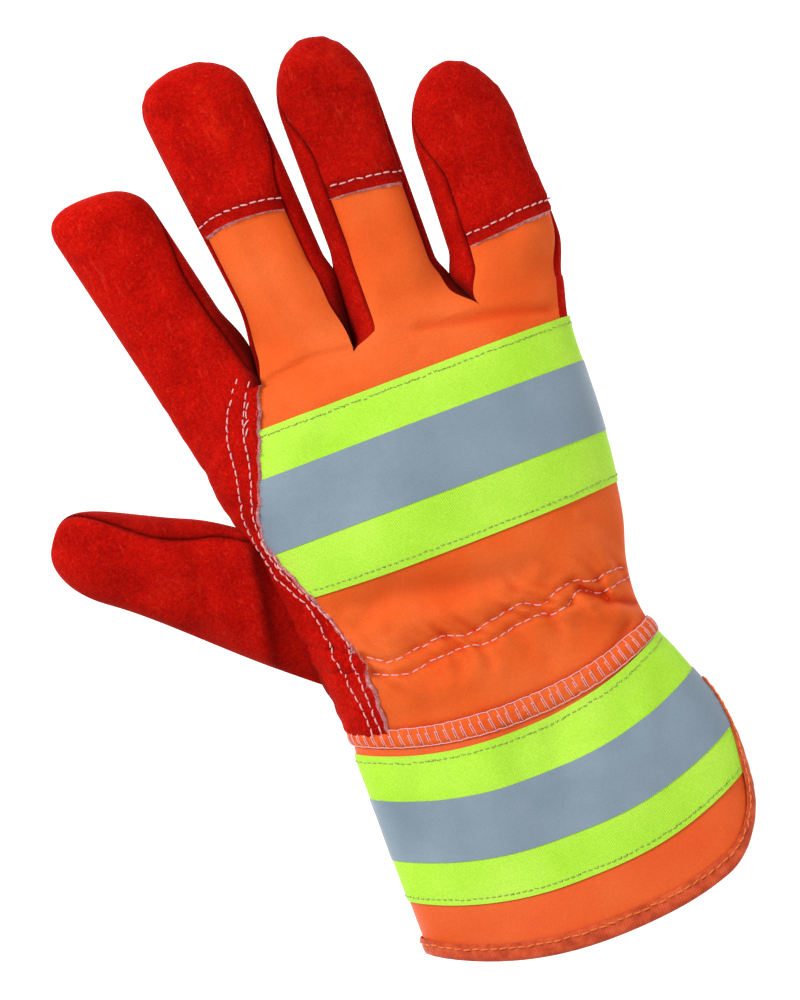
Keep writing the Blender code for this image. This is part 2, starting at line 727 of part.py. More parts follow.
def build_cuff(joint):
    cuff_sheet("cuff_shell", CUFF_Y[0], CUFF_Y[1] + BINDING_WIDTH + GAP, -CUFF_CLOTH, 0.0,
               ORANGE, 0.6, joint, to_hem=True)
    cuff_sheet("cuff_hivis_tape", CUFF_Y[0] - 1.0, CUFF_BAND_Y, GAP, GAP + TAPE, YELLOW, 0.7, joint)
    low = 2.0 * GAP + TAPE
    cuff_sheet("cuff_reflective_strip", CUFF_SILVER_Y[0], CUFF_SILVER_Y[1], low, low + REFLECTIVE,
               SILVER, 0.4, joint, metallic=0.3)
    edge = binding_outline(0.0)
    inner = binding_outline(BINDING_WIDTH)

    def surface(column, row, offset):
        distance, y = (edge if column == 0 else inner)[row]
        return cuff_point(distance, y, offset)

    mesh = sheet_mesh("cuff_binding", surface, (0, 1), range(len(edge)), -CUFF_CLOTH - GAP, BINDING)
    add_object("cuff_binding", mesh, BROWN, 0.85, joint)

    def seam_surface(phi, y, offset):
        section = cuff_section(CUFF_Y[0])
        return section_point(section._replace(centre=(section.centre[0], y)), phi, offset - SEAM_INSET)

    around = angles(*SEAM_ARC, ROUND)
    rows = shares(2, *SEAM_Y)
    mesh = sheet_mesh("wrist_overlock_seam", seam_surface, around, rows, -SEAM_THICKNESS, 0.0)
    add_object("wrist_overlock_seam", mesh, PINK, 0.85, joint)


CUFF_TABLE = cuff_arc_table()
CUFF_DISTANCES = [row[0] for row in CUFF_TABLE]
CUFF_SHARES = [row[1] for row in CUFF_TABLE]
CUFF_LENGTH = CUFF_DISTANCES[-1]


def main():
    clear_scene()
    build_hand_shell()
    build_hand_trim()
    for finger in FINGERS:
        build_finger(finger)
    build_thumb()
    build_cuff(joint_empty("wrist_joint", (0.0, WRIST_Y, WRIST_Z)))


main()
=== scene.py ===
"""Looks for the hi-vis rigger glove: leather, fabric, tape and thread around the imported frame.

Lengths below are in millimetres, measured like the CAD part: X towards the little finger, Y from
the wrist seam towards the fingertips, Z up.  place() turns them into the row frame's metres.
"""
import math

import bpy
import numpy as np
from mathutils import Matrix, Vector


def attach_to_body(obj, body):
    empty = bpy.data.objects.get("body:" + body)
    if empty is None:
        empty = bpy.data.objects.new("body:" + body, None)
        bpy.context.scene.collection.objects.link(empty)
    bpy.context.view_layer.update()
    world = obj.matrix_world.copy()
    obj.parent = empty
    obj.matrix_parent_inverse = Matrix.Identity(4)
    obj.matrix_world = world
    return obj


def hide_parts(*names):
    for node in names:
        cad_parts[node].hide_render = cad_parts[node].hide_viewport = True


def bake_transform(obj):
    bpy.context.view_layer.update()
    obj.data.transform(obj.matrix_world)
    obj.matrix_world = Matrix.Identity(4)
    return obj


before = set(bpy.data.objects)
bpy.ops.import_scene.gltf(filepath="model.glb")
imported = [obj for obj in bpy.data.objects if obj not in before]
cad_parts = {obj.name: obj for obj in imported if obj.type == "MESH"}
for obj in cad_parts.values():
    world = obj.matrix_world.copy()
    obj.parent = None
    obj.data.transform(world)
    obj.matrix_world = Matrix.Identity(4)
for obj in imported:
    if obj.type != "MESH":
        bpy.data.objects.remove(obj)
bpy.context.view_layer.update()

MM = 0.001
PALM_MIDDLE_Y = 60.0
ROUNDNESS = 2.0 / 2.4           # exponent of the rounded cross-sections
MID = 11.0                      # height of the widest line of hand and digits
PI = math.pi

# Trunk: cuff, wrist and hand as one tube.  At each y: left, right, top, middle height, depth below it
TRUNK_Y = (-65, -50, -35, -25, -15, -8, -3, 5, 18, 30, 45, 60, 72, 85, 100.6, 112)
TRUNK_LEFT = (-46.3, -46.3, -46.3, -46.2, -46.2, -46.2, -45.6, -45,
              -46.5, -48, -50, -51.9, -54.9, -58.4, -61.7, -64.2)
TRUNK_RIGHT = (56, 56, 55.8, 54, 50.3, 47.7, 45.5, 43.6, 44.5, 48, 50.5, 52, 52.5, 53, 56, 58)
TRUNK_TOP = (38, 36, 34, 32.6, 31.2, 30.3, 30, 29, 28.5, 29, 30, 30, 29, 27, 23, 20.8)
TRUNK_MID = (18, 16.8, 15.6, 14.6, 13.7, 12.8, 12, 11, 11, 11, 11, 11, 11, 11, 11, 11)
TRUNK_BELOW = (18, 16.8, 15.6, 14.6, 13.7, 13.2, 12.8, 12.5, 12.5, 12.5, 12.5, 12.5, 12.5, 12.5, 12.5, 12.5)

# Leather border on the back, from the index finger's crotch to the wrist
BORDER_Y = (-14, 0, 10, 20, 31, 41.5, 52, 59.2, 66, 72, 80, 88.7, 100.4, 112)
BORDER_X = (-34.5, -34.2, -34.0, -35.1, -38.2, -41.8, -45.9, -47.7, -46.8, -44.5, -41.6, -38.5, -34.6, -34)

CELL_Y = 100.0                  # where the hand ends and the fingers' tubes start
SPREAD = 13.0                   # length over which they turn round
CELLS = (-34.3, -6.8, 30.9)     # crotches
CELL_LEAN = (0.08, 0.135, -0.46)    # how each of them leans
TOUCH = 0.35                    # how far past a crotch the round parts of joined fingers swell
WALL_LAP = 0.3                  # neighbours' walls press into each other
CELL_REACH = (8.0, 22.0, 10.0)  # height of the joined walls above each crotch
ARCH_END_Y = 116.0              # above this the fingers' arched roots stop following the hand
DIGIT_ABOVE = 9.8               # half heights of the digits above and below MID
DIGIT_BELOW = 10.6

# Each finger: its root, middle joint, start of the round end and tip, how it leans, half its width at
# root and tip, how full its end is, the right and left seam's angle, where each climbs to the side and
# how soon its corners turn round, the row between its lower and upper pieces, where its root starts to
# bend, its tone, and the left and right end and the arch of its cap's hem
FINGERS = {
    "index": dict(root_x=-49.2, lean=-0.226, root_y=110, mid_y=137, dome_y=157, tip_y=167.5,
                  root_half=14.5, tip_half=14.6, full=2.6, seams=(40, 180), climbs=(160, 160),
                  corners=(6, 13), split=123.5, bend_y=104.0, tone=0.99, hem=None),
    "middle": dict(root_x=-17.8, lean=-0.088, root_y=113, mid_y=145, dome_y=180, tip_y=192.8,
                   root_half=13.9, tip_half=15.6, full=2.2, seams=(50, 160), climbs=(174, 168),
                   corners=(16, 9), split=129, bend_y=102.5, tone=0.97, hem=(144.5, 144.2), arch=1.9),
    "ring": dict(root_x=10.5, lean=0.010, root_y=112, mid_y=141, dome_y=168, tip_y=188,
                 root_half=13.7, tip_half=14.0, full=2.0, seams=(29, 126), climbs=(170, 180),
                 corners=(8, 4), split=126.5, bend_y=102.5, tone=0.84, hem=(142.4, 139.4), arch=0.6),
    "little": dict(root_x=43.8, lean=0.020, root_y=111, mid_y=136, dome_y=145, tip_y=168,
                   root_half=15.7, tip_half=15.0, full=2.0, seams=(34, 126), climbs=(126, 161),
                   corners=(13, 11), split=123.5, bend_y=102.5, tone=0.88, hem=(116.3, 118.2), arch=0.0),
}
CLIMB = 26.0                    # length over which a seam climbs to the side
FINGER_ZONE = 12.0              # half length of the bending zone at a finger's middle joint

# Thumb: its lower and upper edge at each travel from the crease at its root to its tip
THUMB_S = (-14.0, 0.0, 28.7, 55.6)
THUMB_LOW = ((-45.5, 13.5), (-60, 25.6), (-90.6, 53.3), (-112.5, 69.0))
THUMB_HIGH = ((-50.5, 62.5), (-60, 69.0), (-74.8, 76.4), (-99.2, 88.6))
THUMB_TIP = 55.6
THUMB_DOME = 28.7 + 0.26 * 26.9     # where its round end starts
THUMB_SPLIT = 20.5
THUMB_ROOT_X = -60.0            # from here its surface melts into the hand's
THUMB_JOINT = np.array((-82.7, 65.1))
THUMB_WAY = np.array((-0.807, 0.589))
CREASE_Y = (13, 25.6, 36, 48, 57, 66)       # the fold where the thumb leaves the hand
CREASE_X = (-59.5, -58.8, -56.6, -54.6, -53.2, -51.5)

STEP = 1.15                     # spacing of the rows
LEATHER_T = 1.15
CLOTH_T = 0.9
TAPE_T = 0.34
STRIP_T = 0.2

rng = np.random.default_rng(7)


# ---- numbers and curves

def ease(t):
    t = np.clip(t, 0.0, 1.0)
    return t * t * (3.0 - 2.0 * t)


def powered(v, p):
    return np.sign(v) * np.abs(v) ** p


def smooth_table(at, places, values):
    """Smooth curve through the table's points, straight beyond its ends."""
    x = np.asarray(places, float)
    y = np.asarray(values, float)
    slope = np.gradient(y, x)
    at = np.asarray(at, float)
    i = np.clip(np.searchsorted(x, at) - 1, 0, len(x) - 2)
    h = x[i + 1] - x[i]
    t = (at - x[i]) / h
    inside = np.clip(t, 0.0, 1.0)
    a = inside * inside * (3.0 - 2.0 * inside)
    b = inside * (1.0 - inside) ** 2
    c = -inside * inside * (1.0 - inside)
    curve = y[i] * (1.0 - a) + y[i + 1] * a + h * (slope[i] * b + slope[i + 1] * c)
    before = np.where(t < 0.0, t * h * slope[i], 0.0)
    return curve + before + np.where(t > 1.0, (t - 1.0) * h * slope[i + 1], 0.0)


def waves(x, y, length, seed, count=7):
    """Smooth noise of about unit size: plane waves in several directions."""
    source = np.random.default_rng(seed)
    total = 0.0
    for turn, phase, scale in zip(source.uniform(0, PI, count), source.uniform(0, 2 * PI, count),
                                  source.uniform(0.7, 1.5, count)):
        k = 2 * PI * scale / length
        total = total + np.sin(k * (x * math.cos(turn) + y * math.sin(turn)) + phase)
    return total / math.sqrt(0.5 * count)


def bump(distance, width):
    return np.exp(-(distance / width) ** 2)


def fold(x, y, path, width, height, taper):
    """A ridge (or, with negative height, a crease) along a path of points."""
    best = np.full(np.shape(x), 1e9)
    for (x0, y0), (x1, y1) in zip(path, path[1:]):
        dx, dy = x1 - x0, y1 - y0
        t = np.clip(((x - x0) * dx + (y - y0) * dy) / (dx * dx + dy * dy), 0.0, 1.0)
        best = np.minimum(best, np.hypot(x - x0 - t * dx, y - y0 - t * dy))
    ends = np.minimum(np.hypot(x - path[0][0], y - path[0][1]), np.hypot(x - path[-1][0], y - path[-1][1]))
    return height * bump(best, width) * ease(0.25 + ends / taper)


def soft_floor(z, floor, softness=1.2):
    return floor + 0.5 * (z - floor + np.sqrt((z - floor) ** 2 + softness ** 2))


def unit(v):
    """Vectors scaled to length 1."""
    return v / np.maximum(np.linalg.norm(v, axis=-1, keepdims=True), 1e-9)


def run_along(points):
    """Length run along each line of points."""
    steps = np.linalg.norm(np.diff(points, axis=-2), axis=-1)
    return np.concatenate([np.zeros(steps.shape[:-1] + (1,)), np.cumsum(steps, axis=-1)], axis=-1)


def row_near(rows, value):
    return int(np.argmin(np.abs(rows - value)))


# ---- relief of the back
GATHER_TOP = ((-34, 19.4), (-28.8, 15.9), (-19, 16.4), (-9.6, 16.6), (-6.4, 15.3), (3.7, 16.6), (13.6, 17.4),
              (17.3, 15.6), (23.9, 18.0), (28.5, 18.6), (33.5, 16.6), (38, 17.4), (44.5, 17.0))
GATHER_LOW = ((-34, 14.4), (-25.3, 10.9), (-15.3, 11.6), (-6, 12.0), (-1.2, 10.9), (10, 12.9), (15.9, 13.2),
              (20.5, 12.0), (24, 12.9), (28.2, 15.2), (33.9, 12.9), (42.4, 13.7), (44.8, 13.4))
# Folds of the back: path, width, height (negative for a crease) and length over which its ends fade
FOLDS = (
    (((27, 17.5), (30, 15.2), (36, 9.8), (43, 6.3), (48, 5.0)), 1.5, -3.4, 4.0),
    (((25, 13), (33, 8.0), (43, 2.5)), 4.0, 2.2, 4.0),
    (((40, 4), (35, -1), (29, -6)), 2.0, -1.8, 4.0),
    (((-34, 31), (-20, 33), (-6, 29), (4, 27), (20, 24)), 4.5, -2.3, 9.0),
    (((-25, 24), (-5, 21.5), (12, 22)), 4.0, 1.4, 8.0),
    (((-30, 6), (-14, 3), (-2, 5)), 4.0, 0.8, 8.0),
    (((8, 8), (13, 0), (12, -8)), 3.5, -0.8, 6.0),
    (((36, 36), (43, 28), (46, 20)), 3.2, -1.0, 6.0),
    (((-34, 100.5), (-20, 102.2), (-5, 100.6)), 1.0, -1.6, 3.0),
    (((10, 101), (24, 97.5), (38, 95), (52, 91)), 1.6, -1.7, 6.0),
    (((-34, 80), (-26, 84), (-18, 95)), 4.0, 0.6, 8.0),
    (((-30, 92), (-12, 91), (10, 94)), 4.0, 0.7, 8.0),
)


def gather_line(x, line):
    return smooth_table(x, [p[0] for p in line], [p[1] for p in line])


def back_relief(x, y):
    """Height of the folds on the back of the hand and wrist."""
    top = gather_line(x, GATHER_TOP)
    low = gather_line(x, GATHER_LOW)
    r = -0.95 * bump(y - top, 1.0) - 0.95 * bump(y - low, 1.0)
    near = bump(y - 0.5 * (top + low), 8.0)
    warp = x + 2.2 * waves(x, y, 30.0, 3)
    r = r + near * 0.75 * np.sin(2 * PI * warp / 9.3 + 0.4)
    r = r + near * 0.38 * np.sin(2 * PI * (warp + 0.35 * y) / 5.1)
    for path, width, height, taper in FOLDS:
        r = r + fold(x, y, path, width, height, taper)
    hand = ease((y + 8.0) / 10.0)
    cuff = ease((-8.0 - y) / 14.0)
    r = r * hand + cuff * 0.45 * waves(x, 0.45 * y, 34.0, 12)
    r = r + cuff * ease((y + 50) / 30) * 0.35 * np.sin(2 * PI * (x + 1.5 * waves(x, y, 40, 5)) / 15.0)
    return r + 0.35 * waves(x, y, 42.0, 8)


def hollows(relief, x, y, reach=2.0):
    """How far each place lies above (or, negative, below) its surroundings."""
    turns = np.linspace(0, 2 * PI, 8, endpoint=False)
    around = [relief(x + reach * math.cos(t), y + reach * math.sin(t)) for t in turns]
    return relief(x, y) - sum(around) / len(around)


def with_relief(x, y, z, mid=MID, extra=0.0):
    up = ease((z - mid) / 7.0)
    return np.stack([x, y, z + up * (back_relief(x, y) + extra)], axis=-1)


# ---- surfaces: (angle, travel) -> point

def sag_at(y):
    return 10.0 * np.clip((60.0 - y) / 65.0, 0, 1) ** 1.6 + 2.0 * np.clip((-5.0 - y) / 60.0, 0, 1)


def trunk_half(y):
    left = smooth_table(y, TRUNK_Y, TRUNK_LEFT)
    right = smooth_table(y, TRUNK_Y, TRUNK_RIGHT)
    return 0.5 * (left + right), 0.5 * (right - left)


def trunk_levels(y):
    """Height of the trunk's widest line, and how far its top and underside lie from that."""
    mid = smooth_table(y, TRUNK_Y, TRUNK_MID)
    return mid, smooth_table(y, TRUNK_Y, TRUNK_TOP) - mid, smooth_table(y, TRUNK_Y, TRUNK_BELOW)


def trunk_heights(x, y):
    """Top and underside of the trunk at x."""
    centre, half = trunk_half(y)
    mid, above, below = trunk_levels(y)
    share = np.clip(np.abs(x - centre) / half, 0.0, 1.0)
    arch = (1.0 - share ** 2.4) ** (1 / 2.4)
    return mid + above * arch, soft_floor(mid - below * arch, 0.0)


def trunk_plain(phi, y):
    """The trunk without its folds: x, y, z and the height of its widest line."""
    centre, half = trunk_half(y)
    mid, above, below = trunk_levels(y)
    c, s = (powered(wave(phi), ROUNDNESS) for wave in (np.cos, np.sin))
    z = soft_floor(mid + np.where(s > 0, above, below) * s, 0.0)
    return centre + half * c, y - sag_at(y) * (1.0 - np.abs(c) ** 2.3), z, mid


def trunk(phi, y):
    return with_relief(*trunk_plain(phi, y))


def under_gathers(phi, y):
    """A smooth surface below the folds of the wrist's gathers."""
    x, y, z, mid = trunk_plain(phi, y)
    return np.stack([x, y, z - 3.4 * ease((z - mid) / 7.0)], axis=-1)


def progress(wave, phi, low, high):
    """How far an outline has gone, 0 at angle low and 1 at angle high; wave is np.cos or np.sin."""
    at, a, b = (powered(wave(v), ROUNDNESS) for v in (phi, low, high))
    return np.clip((at - a) / (b - a if abs(b - a) > 1e-6 else 1.0), 0.0, 1.0)


def crotch_x(k, y):
    return CELLS[k] + CELL_LEAN[k] * np.clip(y - CELL_Y, 0.0, CELL_REACH[k])


def joined(k, y):
    """1 where the walls beside crotch k touch, 0 where they have parted."""
    return 1.0 - ease((y - CELL_Y - CELL_REACH[k]) / (18.0 if k == 0 else 8.0))


def domed(v, dome, tip):
    """Place along a digit; travel v keeps an even pace over the round end."""
    turn = np.clip((v - dome) / (tip - dome), 0.0, PI / 2)
    return np.where(v < dome, v, dome + (tip - dome) * np.sin(turn))


def dome_end(dome, tip):
    """Travel at the tip."""
    return dome + (tip - dome) * (PI / 2 - 0.004)


def seam_angle(f, side, v):
    """Angle of the seam between a finger's back and its wall, side 0 on the right and 1 on the left."""
    base = f["seams"][side]
    aim = base if base == 180 else (6.0, 174.0)[side]
    return np.radians(base + (aim - base) * ease((v - f["climbs"][side] + CLIMB) / CLIMB))


def make_finger(name):
    """The finger's surface: the hand's cross-section at CELL_Y, cut at the crotches, turns round."""
    f = FINGERS[name]
    order = list(FINGERS).index(name)
    kr, kl = (math.radians(v) for v in f["seams"])
    if order == 3:
        kr = 0.0
    krb = math.radians(315) if kr > 0 else 2 * PI
    klb = math.radians(225) if kl < PI else PI
    dome, tip = f["dome_y"], f["tip_y"]

    def surface(phi, v):
        y = domed(v, dome, tip)
        turn = np.mod(phi, 2 * PI)
        c, s = np.cos(phi), np.sin(phi)
        closing = np.clip((y - dome) / (tip - dome), 0.0, 1.0)
        wide = (1.0 - closing ** f["full"]) ** (1.0 / f["full"])
        high = (1.0 - closing ** 2.4) ** (1 / 2.4)
        grow = ease((y - f["root_y"]) / (dome - f["root_y"]))
        half = f["root_half"] + (f["tip_half"] - f["root_half"]) * grow
        cx = f["root_x"] + f["lean"] * (y - f["root_y"])
        reach = np.where(s > 0, DIGIT_ABOVE, DIGIT_BELOW) * high
        round_z = soft_floor(MID + reach * powered(s, ROUNDNESS), 0.4)
        arch_y = np.minimum(y, ARCH_END_Y)
        centre, trunk_h = trunk_half(arch_y)
        e0 = centre - trunk_h if order == 0 else crotch_x(order - 1, y)
        e1 = centre + trunk_h if order == 3 else crotch_x(order, y)
        closed_left = 0.0 if order == 0 else joined(order - 1, y)
        closed_right = 0.0 if order == 3 else joined(order, y)
        swell = np.where(c > 0, (e1 + TOUCH - cx - half) * closed_right,
                         (cx + TOUCH - e0 - half) * closed_left)
        side = powered(c, ROUNDNESS)
        round_x = cx + wide * (half * side + swell * np.sign(c) * np.abs(side) ** 6)
        top = (turn >= kr) & (turn <= kl)
        under = (turn > klb) & (turn < krb)
        left = (turn > kl) & (turn <= klb)
        left_wall, right_wall = e0 - WALL_LAP * (order > 0), e1 + WALL_LAP * (order < 3)
        x = np.where(top, e1 + (e0 - e1) * progress(np.cos, turn, kr, kl),
                     np.where(under, e0 + (e1 - e0) * progress(np.cos, turn, klb, krb),
                              np.where(left, left_wall, right_wall)))
        up, down = trunk_heights(x, arch_y)
        rise = np.where(left, progress(np.sin, turn, klb, kl), progress(np.sin, turn, krb, kr))
        z = np.where(top, up, np.where(under, down, down + (up - down) * rise))
        m = ease((y - CELL_Y) / SPREAD)
        right_corner, left_corner = (ease((y - CELL_Y) / length) for length in f["corners"])
        corner = left_corner + (right_corner - left_corner) * ease(0.5 + 0.6 * c)
        x = x + (round_x - x) * (m + (corner - m) * ease(s / 0.35))
        z = z + (round_z - z) * m
        groove = 0.0
        for side in (0, 1):
            at = np.mod(seam_angle(f, side, v), 2 * PI)
            away = np.abs(np.mod(phi - at + PI, 2 * PI) - PI) * half
            groove = groove + bump(away, 0.9) * (1.1 if f["seams"][side] != 180 else 0.35)
        shut = np.where(c > 0, closed_right, closed_left)
        groove = groove * ease((y - CELL_Y) / 6.0) * high * (1.0 - 0.8 * shut)
        body = 0.24 * waves(x * 1.3 + 40 * order, y, 19.0, 30 + order) * m * high
        px = x - groove * np.cos(phi) * 0.6
        return with_relief(px, y, z - groove * np.sin(phi), MID, body)

    return surface


def thumb_seam(s):
    """Angle of the seam on the back of the thumb, near its upper edge."""
    return np.radians(smooth_table(s, (-14.0, 0.0, 14.0, 28.7, 45.0, 55.6), (36, 40, 53, 59, 40, 16)))


def thumb(phi, v):
    """The thumb's surface, sunk into the hand at its root."""
    s = domed(v, THUMB_DOME, THUMB_TIP)
    low, high = (np.stack([smooth_table(s, THUMB_S, [p[k] for p in edge]) for k in (0, 1)], -1)
                 for edge in (THUMB_LOW, THUMB_HIGH))
    closing = np.clip((s - THUMB_DOME) / (THUMB_TIP - THUMB_DOME), 0.0, 1.0)
    full = 2.05 + 1.9 * ease(np.cos(phi) * 0.9)
    keep = (1.0 - closing ** full) ** (1 / full)
    c, t = powered(np.cos(phi), ROUNDNESS), powered(np.sin(phi), ROUNDNESS)
    x, y = (0.5 * (low + high)[..., k] + 0.5 * (high - low)[..., k] * c * keep for k in (0, 1))
    z = soft_floor(MID + np.where(t > 0, DIGIT_ABOVE, DIGIT_BELOW) * t * keep, 0.4)
    top, down = trunk_heights(np.maximum(x, THUMB_ROOT_X), y)
    inside = ease((x - THUMB_ROOT_X) / 12.0)
    joined = 0.5 * (z + top + np.sqrt((z - top) ** 2 + 12.0))
    joined_low = 0.5 * (z + down - np.sqrt((z - down) ** 2 + 4.0))
    z = np.where(t > 0, z + (joined - z) * inside, z + (joined_low - z) * inside)
    away = np.abs(np.mod(phi - thumb_seam(s) + PI, 2 * PI) - PI) * 17.0
    groove = (bump(away, 1.0) * 1.1 + bump(away, 3.0) * 0.4) * keep
    r = 0.45 * waves(x, y, 19.0, 44) * keep
    crease = smooth_table(y, CREASE_Y, CREASE_X)
    right = ease((x - crease) / 2.6)
    r = r - 2.6 * right * ease((x + 62) / 10.0) - 1.1 * right * ease((x + 56) / 8.0)
    r = r + 0.9 * bump(x - crease + 2.4, 2.2)
    for path, width, height in ((((-66, 66), (-69, 56), (-68, 44)), 3.0, -0.9),
                                (((-74, 70), (-72, 60), (-74, 48)), 3.4, 0.6)):
        r = r + fold(x, y, path, width, height, 7.0)
    up = ease((z - MID) / 6.0)
    return np.stack([x, y, z + up * (r - groove)], axis=-1)


# ---- sampling surfaces

def with_normals(surface, phi, v):
    """Points and outward normals."""
    phi, v = np.broadcast_arrays(np.asarray(phi, float), np.asarray(v, float))
    da, dv = 0.012, 0.2
    along = surface(phi, v + dv) - surface(phi, v - dv)
    around = surface(phi + da, v) - surface(phi - da, v)
    return surface(phi, v), unit(np.cross(along, around))


def spaced(surface, rows, start, end, count):
    """Angles for each row, evenly spaced along its outline between two angles."""
    rows = np.asarray(rows, float)
    start, end = (np.broadcast_to(np.asarray(v, float), rows.shape)[:, None] for v in (start, end))
    dense = start + (end - start) * np.linspace(0.0, 1.0, 161)
    run = run_along(surface(dense, rows[:, None] + 0.0 * dense))
    wanted = np.linspace(0.0, 1.0, count + 1)
    return np.array([np.interp(wanted * r[-1], r, d) for r, d in zip(run, dense)])


def border_x(y):
    return smooth_table(y, BORDER_Y, BORDER_X)


def trunk_angle(y, x_of_y, shift=0.0):
    """Angle on the trunk's back, in each row y, whose point lies on the curve x = x_of_y(real y)."""
    centre, half = trunk_half(y)
    real = np.asarray(y, float).copy()
    for _ in range(14):
        share = np.clip((x_of_y(real) + shift - centre) / half, -0.9999, 0.9999)
        real = y - sag_at(y) * (1.0 - np.abs(share) ** 2.3)
    return np.arccos(powered(share, 1.0 / ROUNDNESS))


def on_trunk(x, y):
    """Angle and row of the point of the back at real x, y."""
    x, y = np.broadcast_arrays(np.asarray(x, float), np.asarray(y, float))
    row = y.copy()
    for _ in range(14):
        centre, half = trunk_half(row)
        share = np.clip((x - centre) / half, -0.9999, 0.9999)
        row = y + sag_at(row) * (1.0 - np.abs(share) ** 2.3)
    return np.arccos(powered(share, 1.0 / ROUNDNESS)), row


# ---- materials

def rgb(r, g, b):
    """sRGB 0-255 to linear."""
    def one(v):
        v = v / 255.0
        return v / 12.92 if v <= 0.04045 else ((v + 0.055) / 1.055) ** 2.4
    return (one(r), one(g), one(b), 1.0)


class Look:
    """A node material built step by step."""

    def __init__(self, name, roughness, sheen=0.0, sheen_rough=0.5, tint=(1, 1, 1, 1), specular=0.5,
                 metallic=0.0):
        self.material = bpy.data.materials.new(name)
        self.material.use_nodes = True
        self.tree = self.material.node_tree
        self.shader = self.tree.nodes["Principled BSDF"]
        for socket, value in (("Roughness", roughness), ("Sheen Weight", sheen),
                              ("Sheen Roughness", sheen_rough), ("Sheen Tint", tint),
                              ("Specular IOR Level", specular), ("Metallic", metallic)):
            self.set(socket, value)
        self.coords = self.tree.nodes.new("ShaderNodeTexCoord").outputs["Object"]

    def set(self, socket, value):
        self.feed(self.shader, socket, value)

    def node(self, kind, links=(), **values):
        node = self.tree.nodes.new(kind)
        for key, value in values.items():
            if hasattr(node, key):
                setattr(node, key, value)
            else:
                node.inputs[key].default_value = value
        for socket, source in dict(links).items():
            self.tree.links.new(source, node.inputs[socket])
        return node

    def mapped(self, scale=(1, 1, 1), turn=(0, 0, 0)):
        node = self.node("ShaderNodeMapping", {"Vector": self.coords}, Scale=scale, Rotation=turn)
        return node.outputs["Vector"]

    def noise(self, scale, detail=2.0, rough=0.5, vector=None, distortion=0.0):
        return self.node("ShaderNodeTexNoise", {"Vector": vector or self.coords}, Scale=scale, Detail=detail,
                         Roughness=rough, Distortion=distortion).outputs["Fac"]

    def ramp(self, source, *stops):
        node = self.node("ShaderNodeValToRGB", {"Fac": source})
        ramp = node.color_ramp
        while len(ramp.elements) < len(stops):
            ramp.elements.new(0.5)
        for element, (place, colour) in zip(ramp.elements, stops):
            element.position = place
            element.color = colour if len(colour) == 4 else (*colour, 1.0)
        return node.outputs["Color"]

    def grey(self, source, low, high):
        """Steps a grey value from 0 below low to 1 above high."""
        return self.node("ShaderNodeMapRange", {"Value": source},
                         **{"From Min": low, "From Max": high}).outputs["Result"]

    def feed(self, node, socket, value):
        """Links a socket to another node's output, or sets its value."""
        if hasattr(value, "is_linked"):
            self.tree.links.new(value, node.inputs[socket])
        else:
            node.inputs[socket].default_value = value

    def mix(self, fac, a, b, blend="MIX"):
        node = self.tree.nodes.new("ShaderNodeMix")
        node.data_type = "RGBA"
        node.blend_type = blend
        for socket, value in ((0, fac), (6, a), (7, b)):
            self.feed(node, socket, value)
        return node.outputs[2]

    def times(self, source, colour):
        return self.mix(1.0, source, colour, "MULTIPLY")

    def math(self, kind, a, b=0.0):
        node = self.tree.nodes.new("ShaderNodeMath")
        node.operation = kind
        self.feed(node, 0, a)
        self.feed(node, 1, b)
        return node.outputs[0]

    def thread(self, pitch, vector, axis=0):
        """A wave across one axis, one for each pitch in metres."""
        split = self.node("ShaderNodeSeparateXYZ", {"Vector": vector}).outputs[axis]
        return self.math("SINE", self.math("MULTIPLY", split, 2 * PI / pitch))

    def colour(self, source):
        self.feed(self.shader, "Base Color", source)

    def shaded(self, source, dark):
        """Painted shade: darkens a colour towards a multiple of itself where the shade attribute is low, in
        creases and hollows.
        """
        shade = self.node("ShaderNodeAttribute", attribute_name="shade").outputs["Fac"]
        return self.mix(shade, self.times(source, dark), source)

    def relief(self, *layers):
        """Bumps, each (height source, distance in metres, strength)."""
        last = None
        for source, distance, strength in layers:
            node = self.node("ShaderNodeBump", {"Height": source}, Distance=distance, Strength=strength)
            if last is not None:
                self.tree.links.new(last, node.inputs["Normal"])
            last = node.outputs["Normal"]
        self.tree.links.new(last, self.shader.inputs["Normal"])


def suede():
    look = Look("suede", 0.95, sheen=0.10, sheen_rough=0.5, tint=(1.0, 0.10, 0.04, 1), specular=0.06)
    patches = look.noise(70, 5, 0.62, distortion=0.5)
    base = look.ramp(patches, (0.26, rgb(172, 6, 1)), (0.46, rgb(193, 11, 2)), (0.60, rgb(203, 16, 4)),
                     (0.78, rgb(216, 30, 9)))
    grain = look.noise(1150, 3, 0.7)
    base = look.mix(look.grey(grain, 0.34, 0.66), look.times(base, (0.60, 0.45, 0.45, 1)), base)
    flecks = look.noise(2300, 2, 0.5)
    base = look.mix(look.math("MULTIPLY", look.grey(flecks, 0.64, 0.80), 0.38), base, rgb(226, 84, 66))
    combed = look.mapped(scale=(1.0, 0.28, 1.0), turn=(0, 0, 0.5))
    hairs = look.noise(620, 2, 0.5, vector=combed, distortion=1.5)
    base = look.mix(look.math("MULTIPLY", look.grey(hairs, 0.60, 0.74), 0.30), base, rgb(222, 52, 30))
    # painted shade: the shade attribute darkens the suede almost to black in creases, crotches and beside
    # seams, and sets each piece's tone
    look.colour(look.shaded(base, (0.03, 0.0, 0.0, 1)))
    nap = look.noise(520, 4, 0.65)
    look.relief((look.noise(120, 3, 0.6), 0.0006, 0.35), (nap, 0.00035, 0.5), (grain, 0.00022, 0.6))
    return look.material


def raw_edge():
    look = Look("raw_leather_edge", 0.95, sheen=0.3, specular=0.1)
    tone = look.noise(700, 3, 0.7)
    look.colour(look.ramp(tone, (0.3, rgb(156, 66, 70)), (0.5, rgb(198, 116, 118)),
                          (0.7, rgb(230, 172, 172))))
    look.relief((look.noise(1500, 2, 0.6), 0.0003, 0.7))
    return look.material


